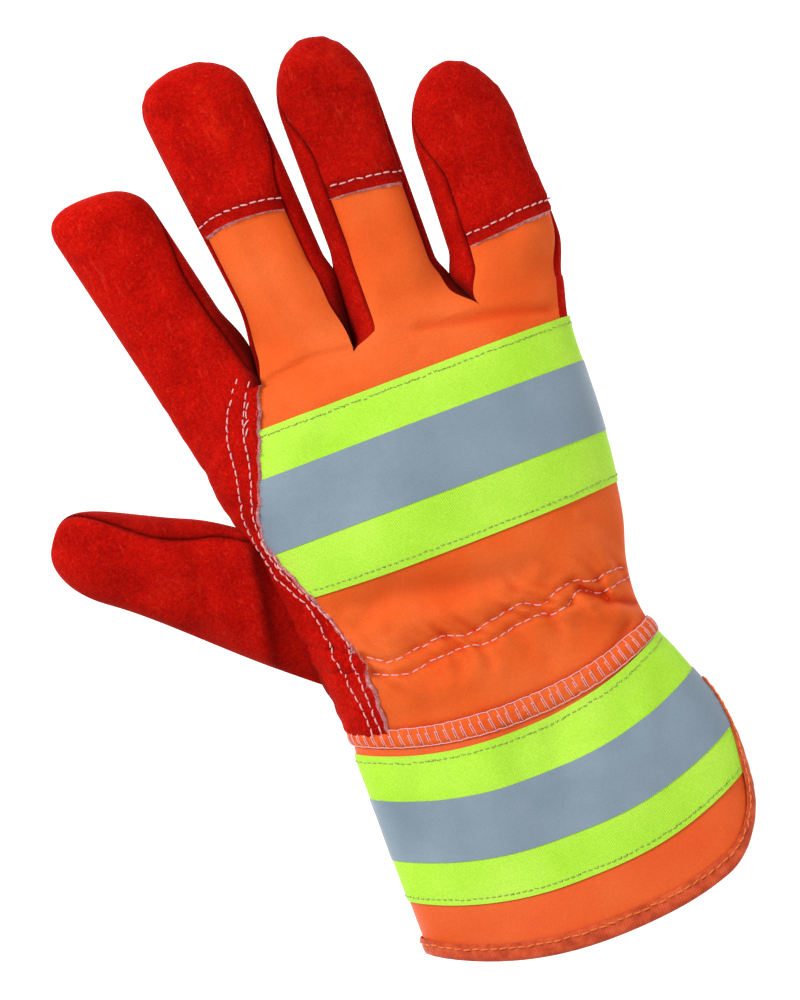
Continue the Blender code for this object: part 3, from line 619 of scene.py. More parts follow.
def woven(name, tones, pitch, roughness, sheen=0.1, depth=0.00009, specular=0.3, twill=False):
    """Plain weave or twill: two crossing sets of threads, with slight changes between three tones."""
    look = Look(name, roughness, sheen=sheen, specular=specular)
    vector = look.mapped(turn=(0, 0, 0.78 if twill else 0.04))
    warp = look.thread(pitch, vector, 0)
    weft = look.thread(pitch * (2.6 if twill else 1.0), vector, 1)
    if twill:
        weave = look.math("ADD", warp, look.math("MULTIPLY", weft, 0.3))
    else:
        weave = look.math("MULTIPLY", warp, weft)
    base = look.ramp(look.noise(38, 3, 0.55), *zip((0.30, 0.50, 0.72), (rgb(*tone) for tone in tones)))
    fine = look.noise(1700, 2, 0.6)
    base = look.mix(look.grey(fine, 0.3, 0.75), look.times(base, (0.86, 0.84, 0.84, 1)), base)
    crossings = look.math("MULTIPLY", look.grey(weave, -1.0, 1.0), 0.07)
    base = look.mix(crossings, base, look.times(base, (0.8, 0.75, 0.8, 1)))
    # painted shade: the shade attribute darkens the cloth in the creases of its folds
    look.colour(look.shaded(base, (0.74, 0.21, 0.06, 1)))
    look.relief((look.noise(160, 3, 0.5), 0.0004, 0.12), (weave, depth, 0.5), (fine, 0.00006, 0.3))
    return look.material


def reflective():
    look = Look("reflective", 0.5, specular=0.4, metallic=0.1)
    beads = look.noise(2600, 1, 0.5)
    cloud = look.noise(45, 3, 0.5)
    base = look.ramp(cloud, (0.3, rgb(128, 145, 159)), (0.7, rgb(140, 157, 171)))
    base = look.mix(look.grey(beads, 0.3, 0.7), look.times(base, (0.88, 0.88, 0.9, 1)), base)
    look.colour(base)
    gloss = look.ramp(look.noise(300, 2, 0.6), (0.3, (0.36, 0.36, 0.36)), (0.7, (0.5, 0.5, 0.5)))
    look.set("Roughness", gloss)
    look.relief((look.noise(170, 2, 0.5), 0.0003, 0.12), (beads, 0.00005, 0.4))
    return look.material


def yarn(name, dark, light):
    look = Look(name, 0.75, sheen=0.25, specular=0.3)
    twist = look.thread(0.00035, look.mapped(turn=(0, 0, 0.6)), 0)
    look.colour(look.ramp(look.grey(twist, -1.0, 1.0), (0.1, rgb(*dark)), (0.7, rgb(*light))))
    look.relief((twist, 0.00006, 0.5))
    return look.material


def binding_cloth():
    look = Look("binding_tape", 0.85, sheen=0.2, specular=0.25)
    ribs = look.thread(0.0008, look.mapped(), 0)
    cloud = look.noise(300, 3, 0.6)
    base = look.ramp(cloud, (0.3, rgb(178, 60, 26)), (0.5, rgb(208, 76, 36)), (0.7, rgb(228, 96, 54)))
    ridges = look.math("MULTIPLY", look.grey(ribs, -1, 1), 0.25)
    look.colour(look.mix(ridges, base, look.times(base, (0.55, 0.5, 0.5, 1))))
    look.relief((ribs, 0.0001, 0.5), (look.noise(900, 3, 0.6), 0.00012, 0.5))
    return look.material


def plain(name, dark, light, roughness, scale):
    look = Look(name, roughness, sheen=0.15, specular=0.2)
    grain = look.noise(scale, 3, 0.6)
    look.colour(look.ramp(grain, (0.3, rgb(*dark)), (0.7, rgb(*light))))
    look.relief((grain, 0.0002, 0.5))
    return look.material


SUEDE = suede()
RAW = raw_edge()
FABRIC = woven("orange_fabric", ((240, 90, 28), (243, 101, 37), (246, 112, 50)), 0.00036, 0.65,
               sheen=0.02, specular=0.10)
CUFF_CLOTH = woven("cuff_cloth", ((241, 90, 26), (244, 99, 33), (247, 108, 42)), 0.00042, 0.5,
                   sheen=0.02, specular=0.25)
YELLOW = woven("hivis_yellow", ((180, 240, 56), (190, 247, 70), (200, 250, 84)), 0.00042, 0.65,
               sheen=0.03, specular=0.15, twill=True)
SILVER = reflective()
BINDING = binding_cloth()
PINK_THREAD = yarn("pink_thread", (214, 132, 138), (250, 196, 196))
ORANGE_THREAD = yarn("orange_thread", (216, 92, 10), (250, 140, 40))
TAPE_THREAD = yarn("tape_thread", (128, 150, 70), (176, 196, 110))
# painted shade: the needle holes are dark yellow discs that stand for the shadow inside each hole
HOLE = plain("needle_hole", (112, 104, 22), (156, 146, 40), 0.9, 900)
LINING = woven("cotton_lining", ((214, 198, 166), (226, 212, 184), (236, 224, 200)), 0.0009, 0.95,
               depth=0.0002)
ELASTIC = woven("elastic_band", ((220, 218, 212), (232, 230, 226), (244, 242, 240)), 0.0011, 0.85)
LEATHER_INSIDE = plain("leather_inside", (150, 60, 50), (196, 110, 96), 0.95, 500)
FABRIC_INSIDE = plain("fabric_inside", (226, 150, 96), (240, 176, 128), 0.95, 700)
EDGE_CLOTH = plain("cut_cloth_edge", (226, 96, 30), (244, 150, 90), 0.9, 1500)
YELLOW_EDGE = plain("cut_tape_edge", (150, 190, 40), (200, 236, 80), 0.9, 1500)

# Each panel's outside, cut edge and inside
LEATHER = (SUEDE, RAW, LEATHER_INSIDE)
CLOTH = (FABRIC, EDGE_CLOTH, FABRIC_INSIDE)
YELLOW_TAPE = (YELLOW, YELLOW_EDGE, FABRIC_INSIDE)
SILVER_TAPE = (SILVER, SILVER, FABRIC_INSIDE)


# ---- meshes

def place(points):
    return (np.asarray(points, float) - (0.0, PALM_MIDDLE_Y, 0.0)) * MM


def linked(name, data):
    """A new object in the scene."""
    thing = bpy.data.objects.new(name, data)
    bpy.context.scene.collection.objects.link(thing)
    return thing


def mesh_object(name, points, faces, materials, face_material=None, loop_normals=None):
    mesh = bpy.data.meshes.new(name)
    mesh.from_pydata(place(points).tolist(), [], faces)
    for material in materials:
        mesh.materials.append(material)
    if face_material is not None:
        mesh.polygons.foreach_set("material_index", np.asarray(face_material, np.int32))
    mesh.shade_smooth()
    if loop_normals is not None:
        mesh.normals_split_custom_set(loop_normals.tolist())
    return linked(name, mesh)


def grid_cross(top):
    """The direction each point of a grid faces, as long as the grid's cells are large."""
    return np.cross(np.gradient(top, axis=0), np.gradient(top, axis=1))


def grid_normals(top, fallback):
    """Unit normals of a grid of points, or the fallback where its cells have no area."""
    across = grid_cross(top)
    return np.where(np.linalg.norm(across, axis=-1, keepdims=True) > 1e-5, unit(across), fallback)


class Sheet:
    """A panel over a surface: rows of travel, columns of angle, an outer offset and a thickness."""

    def __init__(self, surface, rows, columns, outer=0.0, thick=1.1):
        self.rows = np.asarray(rows, float)
        v = self.rows[:, None] + 0.0 * columns
        base, normal = with_normals(surface, columns, v)
        if callable(outer):
            outer = outer(columns, v, base)
        outer = np.broadcast_to(outer, v.shape)
        self.top = base + normal * outer[..., None]
        self.normal = grid_normals(self.top, normal)
        self.low = self.top - normal * thick
        self.shade = np.ones(self.top.shape[:2])

    @classmethod
    def from_grid(cls, top, thick, toward):
        """A panel from its outer points; toward is a direction or directions on its outer side."""
        sheet = cls.__new__(cls)
        if np.sum(grid_cross(top) * toward) < 0:
            top = top[:, ::-1]
            toward = np.broadcast_to(toward, top.shape)[:, ::-1]
        sheet.rows = np.arange(len(top))
        sheet.top = top
        sheet.normal = grid_normals(top, toward)
        sheet.low = top - sheet.normal * thick
        sheet.shade = np.ones(top.shape[:2])
        return sheet

    def flare(self, row=None, column=None, amount=0.7):
        """Leans a cut edge outward, so that its thickness shows."""
        edge = (row, slice(None)) if column is None else (slice(None), column)
        inner = (row + 1, slice(None)) if column is None else (slice(None), column + 1)
        self.low[edge] = self.low[edge] + unit(self.top[edge] - self.top[inner]) * amount

    def piece(self, name, materials, first=0, last=None):
        """The rows first to last as one object.  materials are outside, cut edge and inside."""
        last = len(self.rows) - 1 if last is None else last
        rims = (first == 0, last == len(self.rows) - 1)
        cut = slice(first, last + 1)
        top, low, normal = self.top[cut], self.low[cut], self.normal[cut]
        n_rows, n_cols = top.shape[:2]
        size = n_rows * n_cols
        points = np.concatenate([top.reshape(-1, 3), low.reshape(-1, 3)])
        normals = np.concatenate([normal.reshape(-1, 3), -normal.reshape(-1, 3)])
        grid = np.arange(size).reshape(n_rows, n_cols)
        quad = np.stack([grid[:-1, :-1], grid[1:, :-1], grid[1:, 1:], grid[:-1, 1:]], -1).reshape(-1, 4)
        faces = [quad, quad[:, ::-1] + size]
        kinds = [np.zeros(len(quad), int), np.full(len(quad), 2)]
        loops = [normals[quad], normals[quad[:, ::-1] + size]]
        edges = [(grid[:, 0][::-1], True), (grid[:, -1], True), (grid[0], rims[0]), (grid[-1][::-1], rims[1])]
        for line, wanted in edges:
            if not wanted:
                continue
            a, b = line[:-1], line[1:]
            rim = np.stack([a, b, b + size, a + size], -1)
            corner = points[rim[:, 0]]
            flat = unit(np.cross(points[rim[:, 1]] - corner, points[rim[:, 3]] - corner))
            bent = np.repeat(flat[:, None], 4, axis=1)
            bent[:, :2] += 0.9 * normals[rim[:, :2]]
            faces.append(rim)
            kinds.append(np.ones(len(rim), int))
            loops.append(unit(bent))
        faces = np.concatenate(faces)
        loop_normals = np.concatenate(loops).reshape(-1, 3)
        thing = mesh_object(name, points, faces.tolist(), materials, np.concatenate(kinds), loop_normals)
        tone = thing.data.attributes.new("shade", "FLOAT", "POINT")
        tone.data.foreach_set("value", np.tile(self.shade[cut].reshape(-1), 2).astype(np.float32))
        return thing


def rows_with(start, end, step, *stops):
    """Rows about a step apart that fall exactly on the stops between start and end."""
    marks = sorted({start, end, *(stop for stop in stops if start < stop < end)})
    rows = [marks[0]]
    for a, b in zip(marks, marks[1:]):
        count = max(1, round((b - a) / step))
        rows += [a + (b - a) * (k + 1) / count for k in range(count)]
    return np.array(rows)


class Tubes:
    """Many short threads as one mesh."""

    def __init__(self):
        self.points = []
        self.faces = []
        self.count = 0

    def add(self, path, radii, sides=6):
        """One tube along a path of points, with a radius at each."""
        path = np.asarray(path, float)
        along = unit(np.gradient(path, axis=0))
        side = np.cross(along, (0.0, 0.0, 1.0))
        size = np.linalg.norm(side, axis=1, keepdims=True)
        side = np.where(size > 0.05, unit(side), (1.0, 0.0, 0.0))
        up = np.cross(side, along)
        turn = np.linspace(0, 2 * PI, sides, endpoint=False)
        ring = np.cos(turn)[None, :, None] * side[:, None] + np.sin(turn)[None, :, None] * up[:, None]
        points = path[:, None] + ring * np.asarray(radii, float)[:, None, None]
        self.points.append(points.reshape(-1, 3))
        n = len(path)
        grid = self.count + np.arange(n * sides).reshape(n, sides)
        after = np.roll(grid, -1, axis=1)
        quads = np.stack([grid[:-1], after[:-1], after[1:], grid[1:]], -1).reshape(-1, 4)
        self.faces += quads.tolist() + [grid[0][::-1].tolist(), grid[-1].tolist()]
        self.count += n * sides

    def object(self, name, material):
        return mesh_object(name, np.concatenate(self.points), self.faces, [material])


def resample(points, normals, step, offset=0.0):
    """Even steps along a line on a surface."""
    run = run_along(points)
    count = max(2, int(run[-1] / step))
    at = np.linspace(0.0, run[-1], count + 1) + offset
    def pick(values):
        return np.stack([np.interp(at, run, values[:, k]) for k in range(3)], -1)
    n = pick(normals)
    return pick(points), n / np.linalg.norm(n, axis=1, keepdims=True)


def sideways(p, n):
    """Unit vectors across a line on a surface."""
    return unit(np.cross(n, np.gradient(p, axis=0)))


# Gauges of the stitches: pitch, share of it that shows, thread's radius
BORDER_GAUGE = (2.5, 0.84, 0.22)
CAP_GAUGE = (2.55, 0.82, 0.22)
BINDING_GAUGE = (2.6, 0.85, 0.22)
GATHER_GAUGE = (2.9, 0.92, 0.2)
BACKTACK_GAUGE = (2.4, 0.9, 0.2)
TAPE_GAUGE = (1.75, 0.80, 0.15)


def stitch(mesh, line, gauge, lift=0.05, wander=0.10):
    """Separate stitches along a line of (points, normals): each dips in at both ends."""
    pitch, share, radius = gauge
    fine = 6
    p, n = resample(*line, pitch / fine)
    side = sideways(p, n)
    heights = np.array([-0.55, 0.10, 0.32, 0.36, 0.32, 0.10, -0.55])
    widths = np.array([0.55, 0.95, 1.05, 1.05, 1.05, 0.95, 0.55])
    for start in range(0, len(p) - fine, fine):
        span = np.linspace(0.5 - 0.5 * share, 0.5 + 0.5 * share, 7) * fine + start + rng.uniform(-0.2, 0.2)
        span = np.clip(span, 0, len(p) - 1.001)
        low = span.astype(int)
        t = (span - low)[:, None]
        path = p[low] * (1 - t) + p[low + 1] * t
        up = n[low] * (1 - t) + n[low + 1] * t
        slant = side[low] * (rng.normal(0, wander) + np.linspace(-1, 1, 7) * rng.normal(0, wander))[:, None]
        size = radius * rng.uniform(0.9, 1.1)
        mesh.add(path + up * (heights * size * 2.0 + lift)[:, None] + slant, widths * size)
def sew(name, line, thread, rule, gauge, lift=0.05):
    """A row of stitches as one piece."""
    mesh = Tubes()
    stitch(mesh, line, gauge, lift)
    attach(mesh.object(name, thread), rule, ())


def running_thread(mesh, points, normals, radius, lift, wobble):
    p, n = resample(points, normals, 0.8)
    shake = sideways(p, n) * (wobble * rng.normal(0, 1, len(p)))[:, None]
    mesh.add(p + n * lift + shake, np.full(len(p), radius))


def fibres(name, points, normals, outward, count, length, material, radius=0.05):
    """Loose fibres of a cut leather edge."""
    mesh = Tubes()
    run = len(points)
    for _ in range(count):
        k = rng.uniform(0, run - 1.001)
        i = int(k)
        t = k - i
        at = points[i] * (1 - t) + points[i + 1] * t
        up, out = normals[i], outward[i]
        along = np.cross(up, out)
        aim = out * rng.uniform(-0.3, 1.0) + up * rng.uniform(-0.1, 0.7) + along * rng.normal(0, 0.9)
        bend = along * rng.normal(0, 0.6) + up * rng.normal(0, 0.35)
        size = length * rng.uniform(0.4, 1.3)
        steps = np.linspace(0, 1, 4)[:, None]
        path = at + aim * steps * size + bend * steps ** 2 * size + rng.normal(0, 0.1, 3)
        mesh.add(path, radius * np.array([1.0, 0.9, 0.7, 0.35]), sides=3)
    return mesh.object(name, material)


# ---- riding, and zones between bodies

def along(x=0.0, y=0.0, z=MID):
    return tuple(place((x, y, z)))


def root_zone(name):
    if name == "thumb":
        return ("hand", "thumb_base", along(-52.5, 47.5), along(-70.0, 47.5))
    f = FINGERS[name]
    end = min(f["root_y"] + 12.0, f["split"])
    return ("hand", name + "_base", along(f["root_x"], f["bend_y"]), along(f["root_x"], end))


def mid_zone(name):
    if name == "thumb":
        a, b = (THUMB_JOINT + way * THUMB_WAY for way in (-4.5, 10.0))
        return ("thumb_base", "thumb_tip", along(*a), along(*b))
    f = FINGERS[name]
    return (name + "_base", name + "_tip", along(f["root_x"], max(f["mid_y"] - FINGER_ZONE, f["split"])),
            along(f["root_x"], f["mid_y"] + FINGER_ZONE))


WRIST_ZONE = ("hand", "cuff", along(0, 17.0), along(0, -5.0))
WRIST_CUT = 31.0


def attach(thing, rule, nodes=()):
    """rule is a body's name, which the piece rides, or a zone between two bodies, for which its transform is
    only baked.
    """
    if isinstance(rule, str):
        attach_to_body(thing, rule)
    else:
        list(rule)
        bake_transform(thing)
    if nodes:
        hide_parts(*nodes)
    return thing
def sheet_piece(sheet, name, materials, rule, node):
    """A panel as one piece, attached by the rule, with the CAD part node hidden."""
    thing = attach(sheet.piece(name, materials), rule, [node])


def digit_panel(sheet, name, part, cut):
    """A digit's leather panel as a lower and an upper piece that meet at row cut."""
    for end, body, zone, rows in (("lower", "base", root_zone(name), (0, cut)),
                                  ("upper", "tip", mid_zone(name), (cut, None))):
        attach(sheet.piece(f"{name}_{part}_{end}", LEATHER, *rows), zone, [f"{name}_{body}_{part}_leather"])


# ---- hand
ROW_Y = (-12.0, 9.3, 18.6, 28.0, 36.1, 48.0, 58.0, 66.0, 77.7, 93.9, 105.8)
OUTER_ROW = (-39.0, -39.1, -41.1, -41.6, -42.4, -47.8, -50.0, -51.0, -49.1, -46.3, -38.9)
INNER_ROW = (-36.6, -36.5, -36.6, -37.4, -40.6, -45.9, -48.6, -48.4, -45.3, -41.6, -34.6)


def row_x(y, row):
    return smooth_table(y, ROW_Y, row)


def strip_lift(x, y):
    """How high the border's leather stands over the fabric."""
    inward = border_x(y) - 1.0 - x
    wide = 10.6 - 4.5 * bump(y - 58.0, 9.0)
    low = 1.0 - ease((y - 60.0) / 8.0)
    soft = 1.0 - ease((inward - 9.0) / 9.0)
    hard = 1.0 - ease((inward - wide) / 1.5)
    high = 1.85 * (hard * low + soft * (1.0 - low)) * (1.0 - ease((y - 101.0) / 13.0))
    high = high - 1.6 * low * ease((inward - wide) / 1.5) * ease((y - 8.0) / 8.0)
    rows = 0.5 * bump(x - row_x(y, INNER_ROW), 0.7) + 0.5 * bump(x - row_x(y, OUTER_ROW), 0.7)
    fade = 1.0 - ease((y - 104.0) / 5.0)
    return high - rows * fade - 0.35 * bump(inward, 0.9) * fade + 0.12 * waves(x, y, 6.0, 61)


def side_seam(y):
    """Angle of the seam between the back fabric and the palm leather, on the little finger's side."""
    return np.radians(-26.0 + 45.5 * ease((y - 78.0) / 11.0) - 2.3 * ease((y - 89.0) / 11.0))


hand_rows = rows_with(-2.3, CELL_Y, 0.9, WRIST_CUT)
cut_row = row_near(hand_rows, WRIST_CUT)


def under_seam(v):
    """Pieces dip below the overlocked welt at the wrist."""
    return -1.3 * ease((2.0 - v) / 3.0)


def at_wrist(sheet, stem, materials, node, cut=cut_row):
    """The wrist's and the hand's share of a panel."""
    attach(sheet.piece(stem + "_wrist", materials, 0, cut), WRIST_ZONE, [node])
    attach(sheet.piece(stem + "_hand", materials, cut), "hand", [node])


def strip_edge(y):
    """The leather's upper edge; its cut face slopes out from here to the border."""
    return border_x(y) - 0.75 + 0.22 * np.sin(y * 0.83) + 0.14 * np.sin(y * 1.9 + 1.0)


strip_end = trunk_angle(hand_rows, strip_edge)
columns = spaced(trunk, hand_rows, strip_end, PI, 26)
strip = Sheet(trunk, hand_rows, columns,
              lambda phi, v, p: strip_lift(p[..., 0], p[..., 1]) + under_seam(v), LEATHER_T)
strip.flare(column=0, amount=0.75 * (1.0 - ease((hand_rows - 94.0) / 6.0))[:, None])
# painted shade: the border's leather is darker in its hollows, such as its stitch rows and cut edge
strip.shade = np.clip(1.0 + 0.6 * hollows(strip_lift, strip.top[..., 0], strip.top[..., 1], 1.6), 0.45, 1.0)
at_wrist(strip, "strip", LEATHER, "thumb_side_strip")

fabric_end = trunk_angle(hand_rows, border_x, -7.0)
columns = spaced(trunk, hand_rows, side_seam(hand_rows), fabric_end, 124)
fabric = Sheet(trunk, hand_rows, columns, lambda phi, v, p: under_seam(v), CLOTH_T)
# painted shade: the back cloth is darker in the hollows of its folds and in a band along the wrist's welt
fabric.shade = np.clip(1.0 + 0.55 * hollows(back_relief, fabric.top[..., 0], fabric.top[..., 1]), 0.25, 1.0)
fabric.shade *= 1.0 - 0.5 * bump(hand_rows[:, None] - 1.6, 1.1)
at_wrist(fabric, "back_cloth", CLOTH, "back_fabric")

columns = spaced(trunk, hand_rows, PI, side_seam(hand_rows) + 2 * PI, 84)
palm = Sheet(trunk, hand_rows, columns,
             lambda phi, v, p: under_seam(v) + 0.15 * waves(p[..., 0], p[..., 1], 12, 71), LEATHER_T)
at_wrist(palm, "palm", LEATHER, "palm_leather")


def tape(rows, start, shift, low, thick):
    """Tape across the back, from an angle on the little finger's side to below the leather border."""
    angles = spaced(trunk, rows, math.radians(start), trunk_angle(rows, border_x, shift), 78)
    return Sheet(trunk, rows, angles, low + thick, thick)


sheet_piece(tape(np.linspace(40.2, 88.6, 40), -21.0, -5.0, 0.12, TAPE_T), "hand_band_yellow", YELLOW_TAPE,
            "hand", "hand_hivis_tape")
sheet_piece(tape(np.linspace(54.8, 75.4, 18), -20.0, -4.6, 0.46, STRIP_T), "hand_band_silver", SILVER_TAPE,
            "hand", "hand_reflective_strip")


# ---- fingers

def wall_shade(name, sheet, tone):
    """Painted shade: darker in the crotches and beside the seams, where shadow falls, times the piece's tone.
    """
    order = list(FINGERS).index(name)
    x, y = sheet.top[..., 0], sheet.top[..., 1]
    shade = np.full(x.shape, tone)
    for k, depth, width, length in ((order - 1, 0.60, 2.2, 26.0), (order, 0.97, 3.4, 44.0)):
        if 0 <= k < 3:
            edge = crotch_x(k, y) - (0.30 * np.clip(y - CELL_Y - CELL_REACH[k], 0, 30) if k == 0 else 0.0)
            near = bump(x - edge, width) * (1.0 - ease((y - CELL_Y - 3.0) / length))
            shade = shade * (1.0 - depth * near)
    for k in (0, -1):
        seam = np.linalg.norm(sheet.top - sheet.top[:, [k]], axis=-1)
        shade = shade * (1.0 - 0.75 * bump(seam, 0.9) * ease((y - CELL_Y) / 10.0))
    return shade


for name, f in FINGERS.items():
    surface = make_finger(name)
    tone, split = f["tone"], f["split"]
    end = dome_end(f["dome_y"], f["tip_y"])
    rows = rows_with(CELL_Y, end, STEP, split, f["dome_y"])
    right, left = (seam_angle(f, side, rows) for side in (0, 1))
    front = Sheet(surface, rows, spaced(surface, rows, left, right + 2 * PI, 44), -0.05, LEATHER_T)
    front.shade = wall_shade(name, front, tone)
    digit_panel(front, name, "front", row_near(rows, split))
    if f["hem"] is None:
        back = Sheet(surface, rows, spaced(surface, rows, right, left, 30),
                     lambda phi, v, p: strip_lift(p[..., 0], p[..., 1]) * (1.0 - ease((v - 101.0) / 13.0)),
                     LEATHER_T)
        back.shade = wall_shade(name, back, tone)
        digit_panel(back, name, "back", row_near(rows, split))
        continue

    # the fabric on the back ends under the cap
    stop = max(f["hem"]) + 4.0
    rows = rows_with(CELL_Y, stop, STEP, split)
    cut = row_near(rows, split)
    right, left = (seam_angle(f, side, rows) for side in (0, 1))
    sheet = Sheet(surface, rows, spaced(surface, rows, right, left, 22), -0.05, CLOTH_T)
    attach(sheet.piece(name + "_fabric_lower", CLOTH, 0, cut), root_zone(name),
           [name + "_base_back_fabric"])
    if stop > split:
        attach(sheet.piece(name + "_fabric_upper", CLOTH, cut), mid_zone(name), ())

    # the cap's rows run from its slanted hem to a level row, and on to the fingertip
    share = np.linspace(0.0, 1.0, 25)
    hem_left, hem_right = f["hem"]
    hem = hem_right + (hem_left - hem_right) * share + f["arch"] * 4.0 * share * (1.0 - share)
    on_base = min(f["hem"]) < split
    level, steps = (split, 7) if on_base else (max(f["hem"]) + 9.0, 9)
    grid = [hem + (level - hem) * t for t in np.linspace(0.0, 1.0, steps + 1)[:-1]]
    grid = np.array(grid + [np.full(25, row) for row in rows_with(level, end, STEP, f["dome_y"])])
    right, left = (seam_angle(f, side, grid) for side in (0, 1))
    even = spaced(surface, grid[:, 12], right[:, 12], left[:, 12], 24)
    part = (even - even[:, :1]) / (even[:, -1:] - even[:, :1])
    base, normal = with_normals(surface, right + (left - right) * part, grid)
    above = grid - hem
    edge = 0.35 + 0.65 * ease(np.minimum(share, 1 - share) / 0.12)
    lift = 1.25 * (1.0 - ease((above - 4.0) / 12.0)) * edge - 0.38 * bump(above - 3.2, 0.8)
    lift = lift - 0.3 * bump(above, 0.7) + 0.1 * waves(base[..., 0], base[..., 1], 5.5, 77)
    cap = Sheet.from_grid(base + normal * lift[..., None], 1.1, normal)
    cap.flare(row=0, amount=1.2)
    # painted shade: darker along the row of stitches and just above the hem, times the finger's tone
    cap.shade = tone * (1.0 - 0.35 * bump(above - 3.2, 0.9) - 0.15 * bump(above - 1.6, 0.7))
    if on_base:
        digit_panel(cap, name, "cap", steps)
    else:
        attach(cap.piece(name + "_cap", LEATHER), mid_zone(name), [name + "_tip_cap_leather"])

    # its hem has one row of stitches and a fuzzy cut edge
    zone = root_zone(name) if on_base else mid_zone(name)
    row = hem + 3.2
    right, left = (seam_angle(f, side, row) for side in (0, 1))
    p, n = with_normals(surface, right + (left - right) * part[3], row)
    sew(name + "_cap_stitches", (p + n * 0.95, n), PINK_THREAD, zone, CAP_GAUGE)
    p, n = cap.top[0], cap.normal[0]
    fuzz = fibres(name + "_cap_fuzz", p - n * 0.5, n, unit(p - cap.top[1]), 150, 0.8, PINK_THREAD)
    attach(fuzz, zone, ())


# ---- thumb

rows = rows_with(-14.0, dome_end(THUMB_DOME, THUMB_TIP), STEP, THUMB_SPLIT, THUMB_DOME)
# its upper edge carries the seam between back and palm leather
seam = thumb_seam(domed(rows, THUMB_DOME, THUMB_TIP))
back = Sheet(thumb, rows, spaced(thumb, rows, seam, PI, 40), 0.0, LEATHER_T)
front = Sheet(thumb, rows, spaced(thumb, rows, PI, seam + 2 * PI, 44), 0.0, LEATHER_T)
# painted shade: darker along the crease at the thumb's root, in a band beside it, low down near x = -47.5 and
# beside the seam edge (on the front over a broad band too), starting from 0.90
for sheet, side, dark, spread in ((back, 0, 0.6, 0.0), (front, -1, 0.75, 0.22)):
    x, y = sheet.top[..., 0], sheet.top[..., 1]
    crease = smooth_table(y, CREASE_Y, CREASE_X)
    sheet.shade = 0.90 - 0.34 * bump(x - crease - 0.5, 1.5) * ease((y - 14) / 8) * (1 - ease((y - 60) / 8))
    sheet.shade -= 0.20 * bump(x - crease - 4.0, 5.0) + 0.30 * bump(x + 47.5, 2.2) * ease((52 - y) / 10)
    edge = np.linalg.norm(sheet.top - sheet.top[:, [side]], axis=-1)
    sheet.shade *= (1.0 - dark * bump(edge, 0.8)) * (1.0 - spread * bump(edge, 12.0))
    sheet.shade = np.clip(sheet.shade, 0.12, 1.0)
digit_panel(back, "thumb", "back", row_near(rows, THUMB_SPLIT))
digit_panel(front, "thumb", "front", row_near(rows, THUMB_SPLIT))


# ---- cuff

CUFF_TOP_Y = -3.1
HEM_Y = -65.0
SLIT_TOP_Y = -21.0
CORNER = 18.0                   # radius of the hem's corners beside the slit
BOUND = 5.0                     # width of the binding
CUFF_UNIT = 50.0                # angles on the cuff are distances in this unit, so that steps stay small


def slit_angle(y):
    """Angle at which the cuff ends beside its slit."""
    share = np.clip((y + 8.5) / (HEM_Y + 8.5), 0.0, 1.0)
    gap = 0.35 + 7.65 * share ** 1.5
    return np.arcsin((gap / trunk_levels(y)[1]) ** (1 / ROUNDNESS))


def edge_width(y):
    """The slit's binding is narrow at its top."""
    return 0.32 + 0.68 * ease((-24.0 - y) / 22.0)


def cuff_lengths():
    start = float(slit_angle(np.array(HEM_Y)))
    share = np.linspace(0.0, 1.0, 481)
    points = trunk(start + (2 * PI - 2 * start) * share, np.full(481, HEM_Y))
    return share, run_along(points)


CUFF_SHARES, CUFF_RUN = cuff_lengths()
CUFF_LENGTH = float(CUFF_RUN[-1])


def cuff(phi, y):
    """phi is the distance round the cuff from the slit, in CUFF_UNIT."""
    share = np.interp(phi * CUFF_UNIT, CUFF_RUN, CUFF_SHARES)
    start = slit_angle(y)
    return trunk(start + (2 * PI - 2 * start) * share, y)


def tilt(distance):
    """The tapes lie a little askew on the cuff."""
    return np.interp(distance / CUFF_LENGTH, (0, 0.25, 0.5, 0.75, 1), (1.5, 0.2, -1.2, 0.0, 1.5))


def cuff_sheet(top, bottom, low, thick, margin, hem=False):
    """A sheet round the cuff; with hem, its lower corners beside the slit are round."""
    columns = 150
    count = max(3, int(abs(bottom - top) / 1.5))
    even = np.linspace(0, 1, columns + 1)
    share = 0.35 * (0.5 - 0.5 * np.cos(PI * even)) + 0.65 * even
    around = margin + (CUFF_LENGTH - 2 * margin) * share
    if hem:
        radius = CORNER - margin
        from_edge = np.minimum(around, CUFF_LENGTH - around) - margin
        inside = np.clip(radius ** 2 - np.maximum(radius - from_edge, 0.0) ** 2, 0.0, None)
        start, end = top, bottom + np.where(from_edge < radius, radius - np.sqrt(inside), 0.0)
    else:
        start, end = top + tilt(around), bottom + tilt(around)
    y = start + (end - start) * np.linspace(0.0, 1.0, count + 1)[:, None]
    sewn = 0.3 + (margin * edge_width(y) - 0.3) * ease((SLIT_TOP_Y + 3.0 - y) / 4.0)
    distance = sewn + (CUFF_LENGTH - 2 * sewn) * share
    base, normal = with_normals(cuff, distance / CUFF_UNIT, y)
    normal = -normal if normal[count // 2, columns // 4, 2] < 0 else normal
    return Sheet.from_grid(base + normal * (low + thick), thick, normal)


sheet_piece(cuff_sheet(CUFF_TOP_Y, HEM_Y + BOUND - 1.0, -CLOTH_T, CLOTH_T, BOUND - 1.0, hem=True),
            "cuff_body", (CUFF_CLOTH, EDGE_CLOTH, FABRIC_INSIDE), "cuff", "cuff_shell")
sheet_piece(cuff_sheet(-4.6, -48.0, 0.1, TAPE_T, BOUND - 1.4), "cuff_band_yellow", YELLOW_TAPE, "cuff",
            "cuff_hivis_tape")
sheet_piece(cuff_sheet(-17.8, -35.8, 0.45, STRIP_T, BOUND - 1.4), "cuff_band_silver", SILVER_TAPE, "cuff",
            "cuff_reflective_strip")


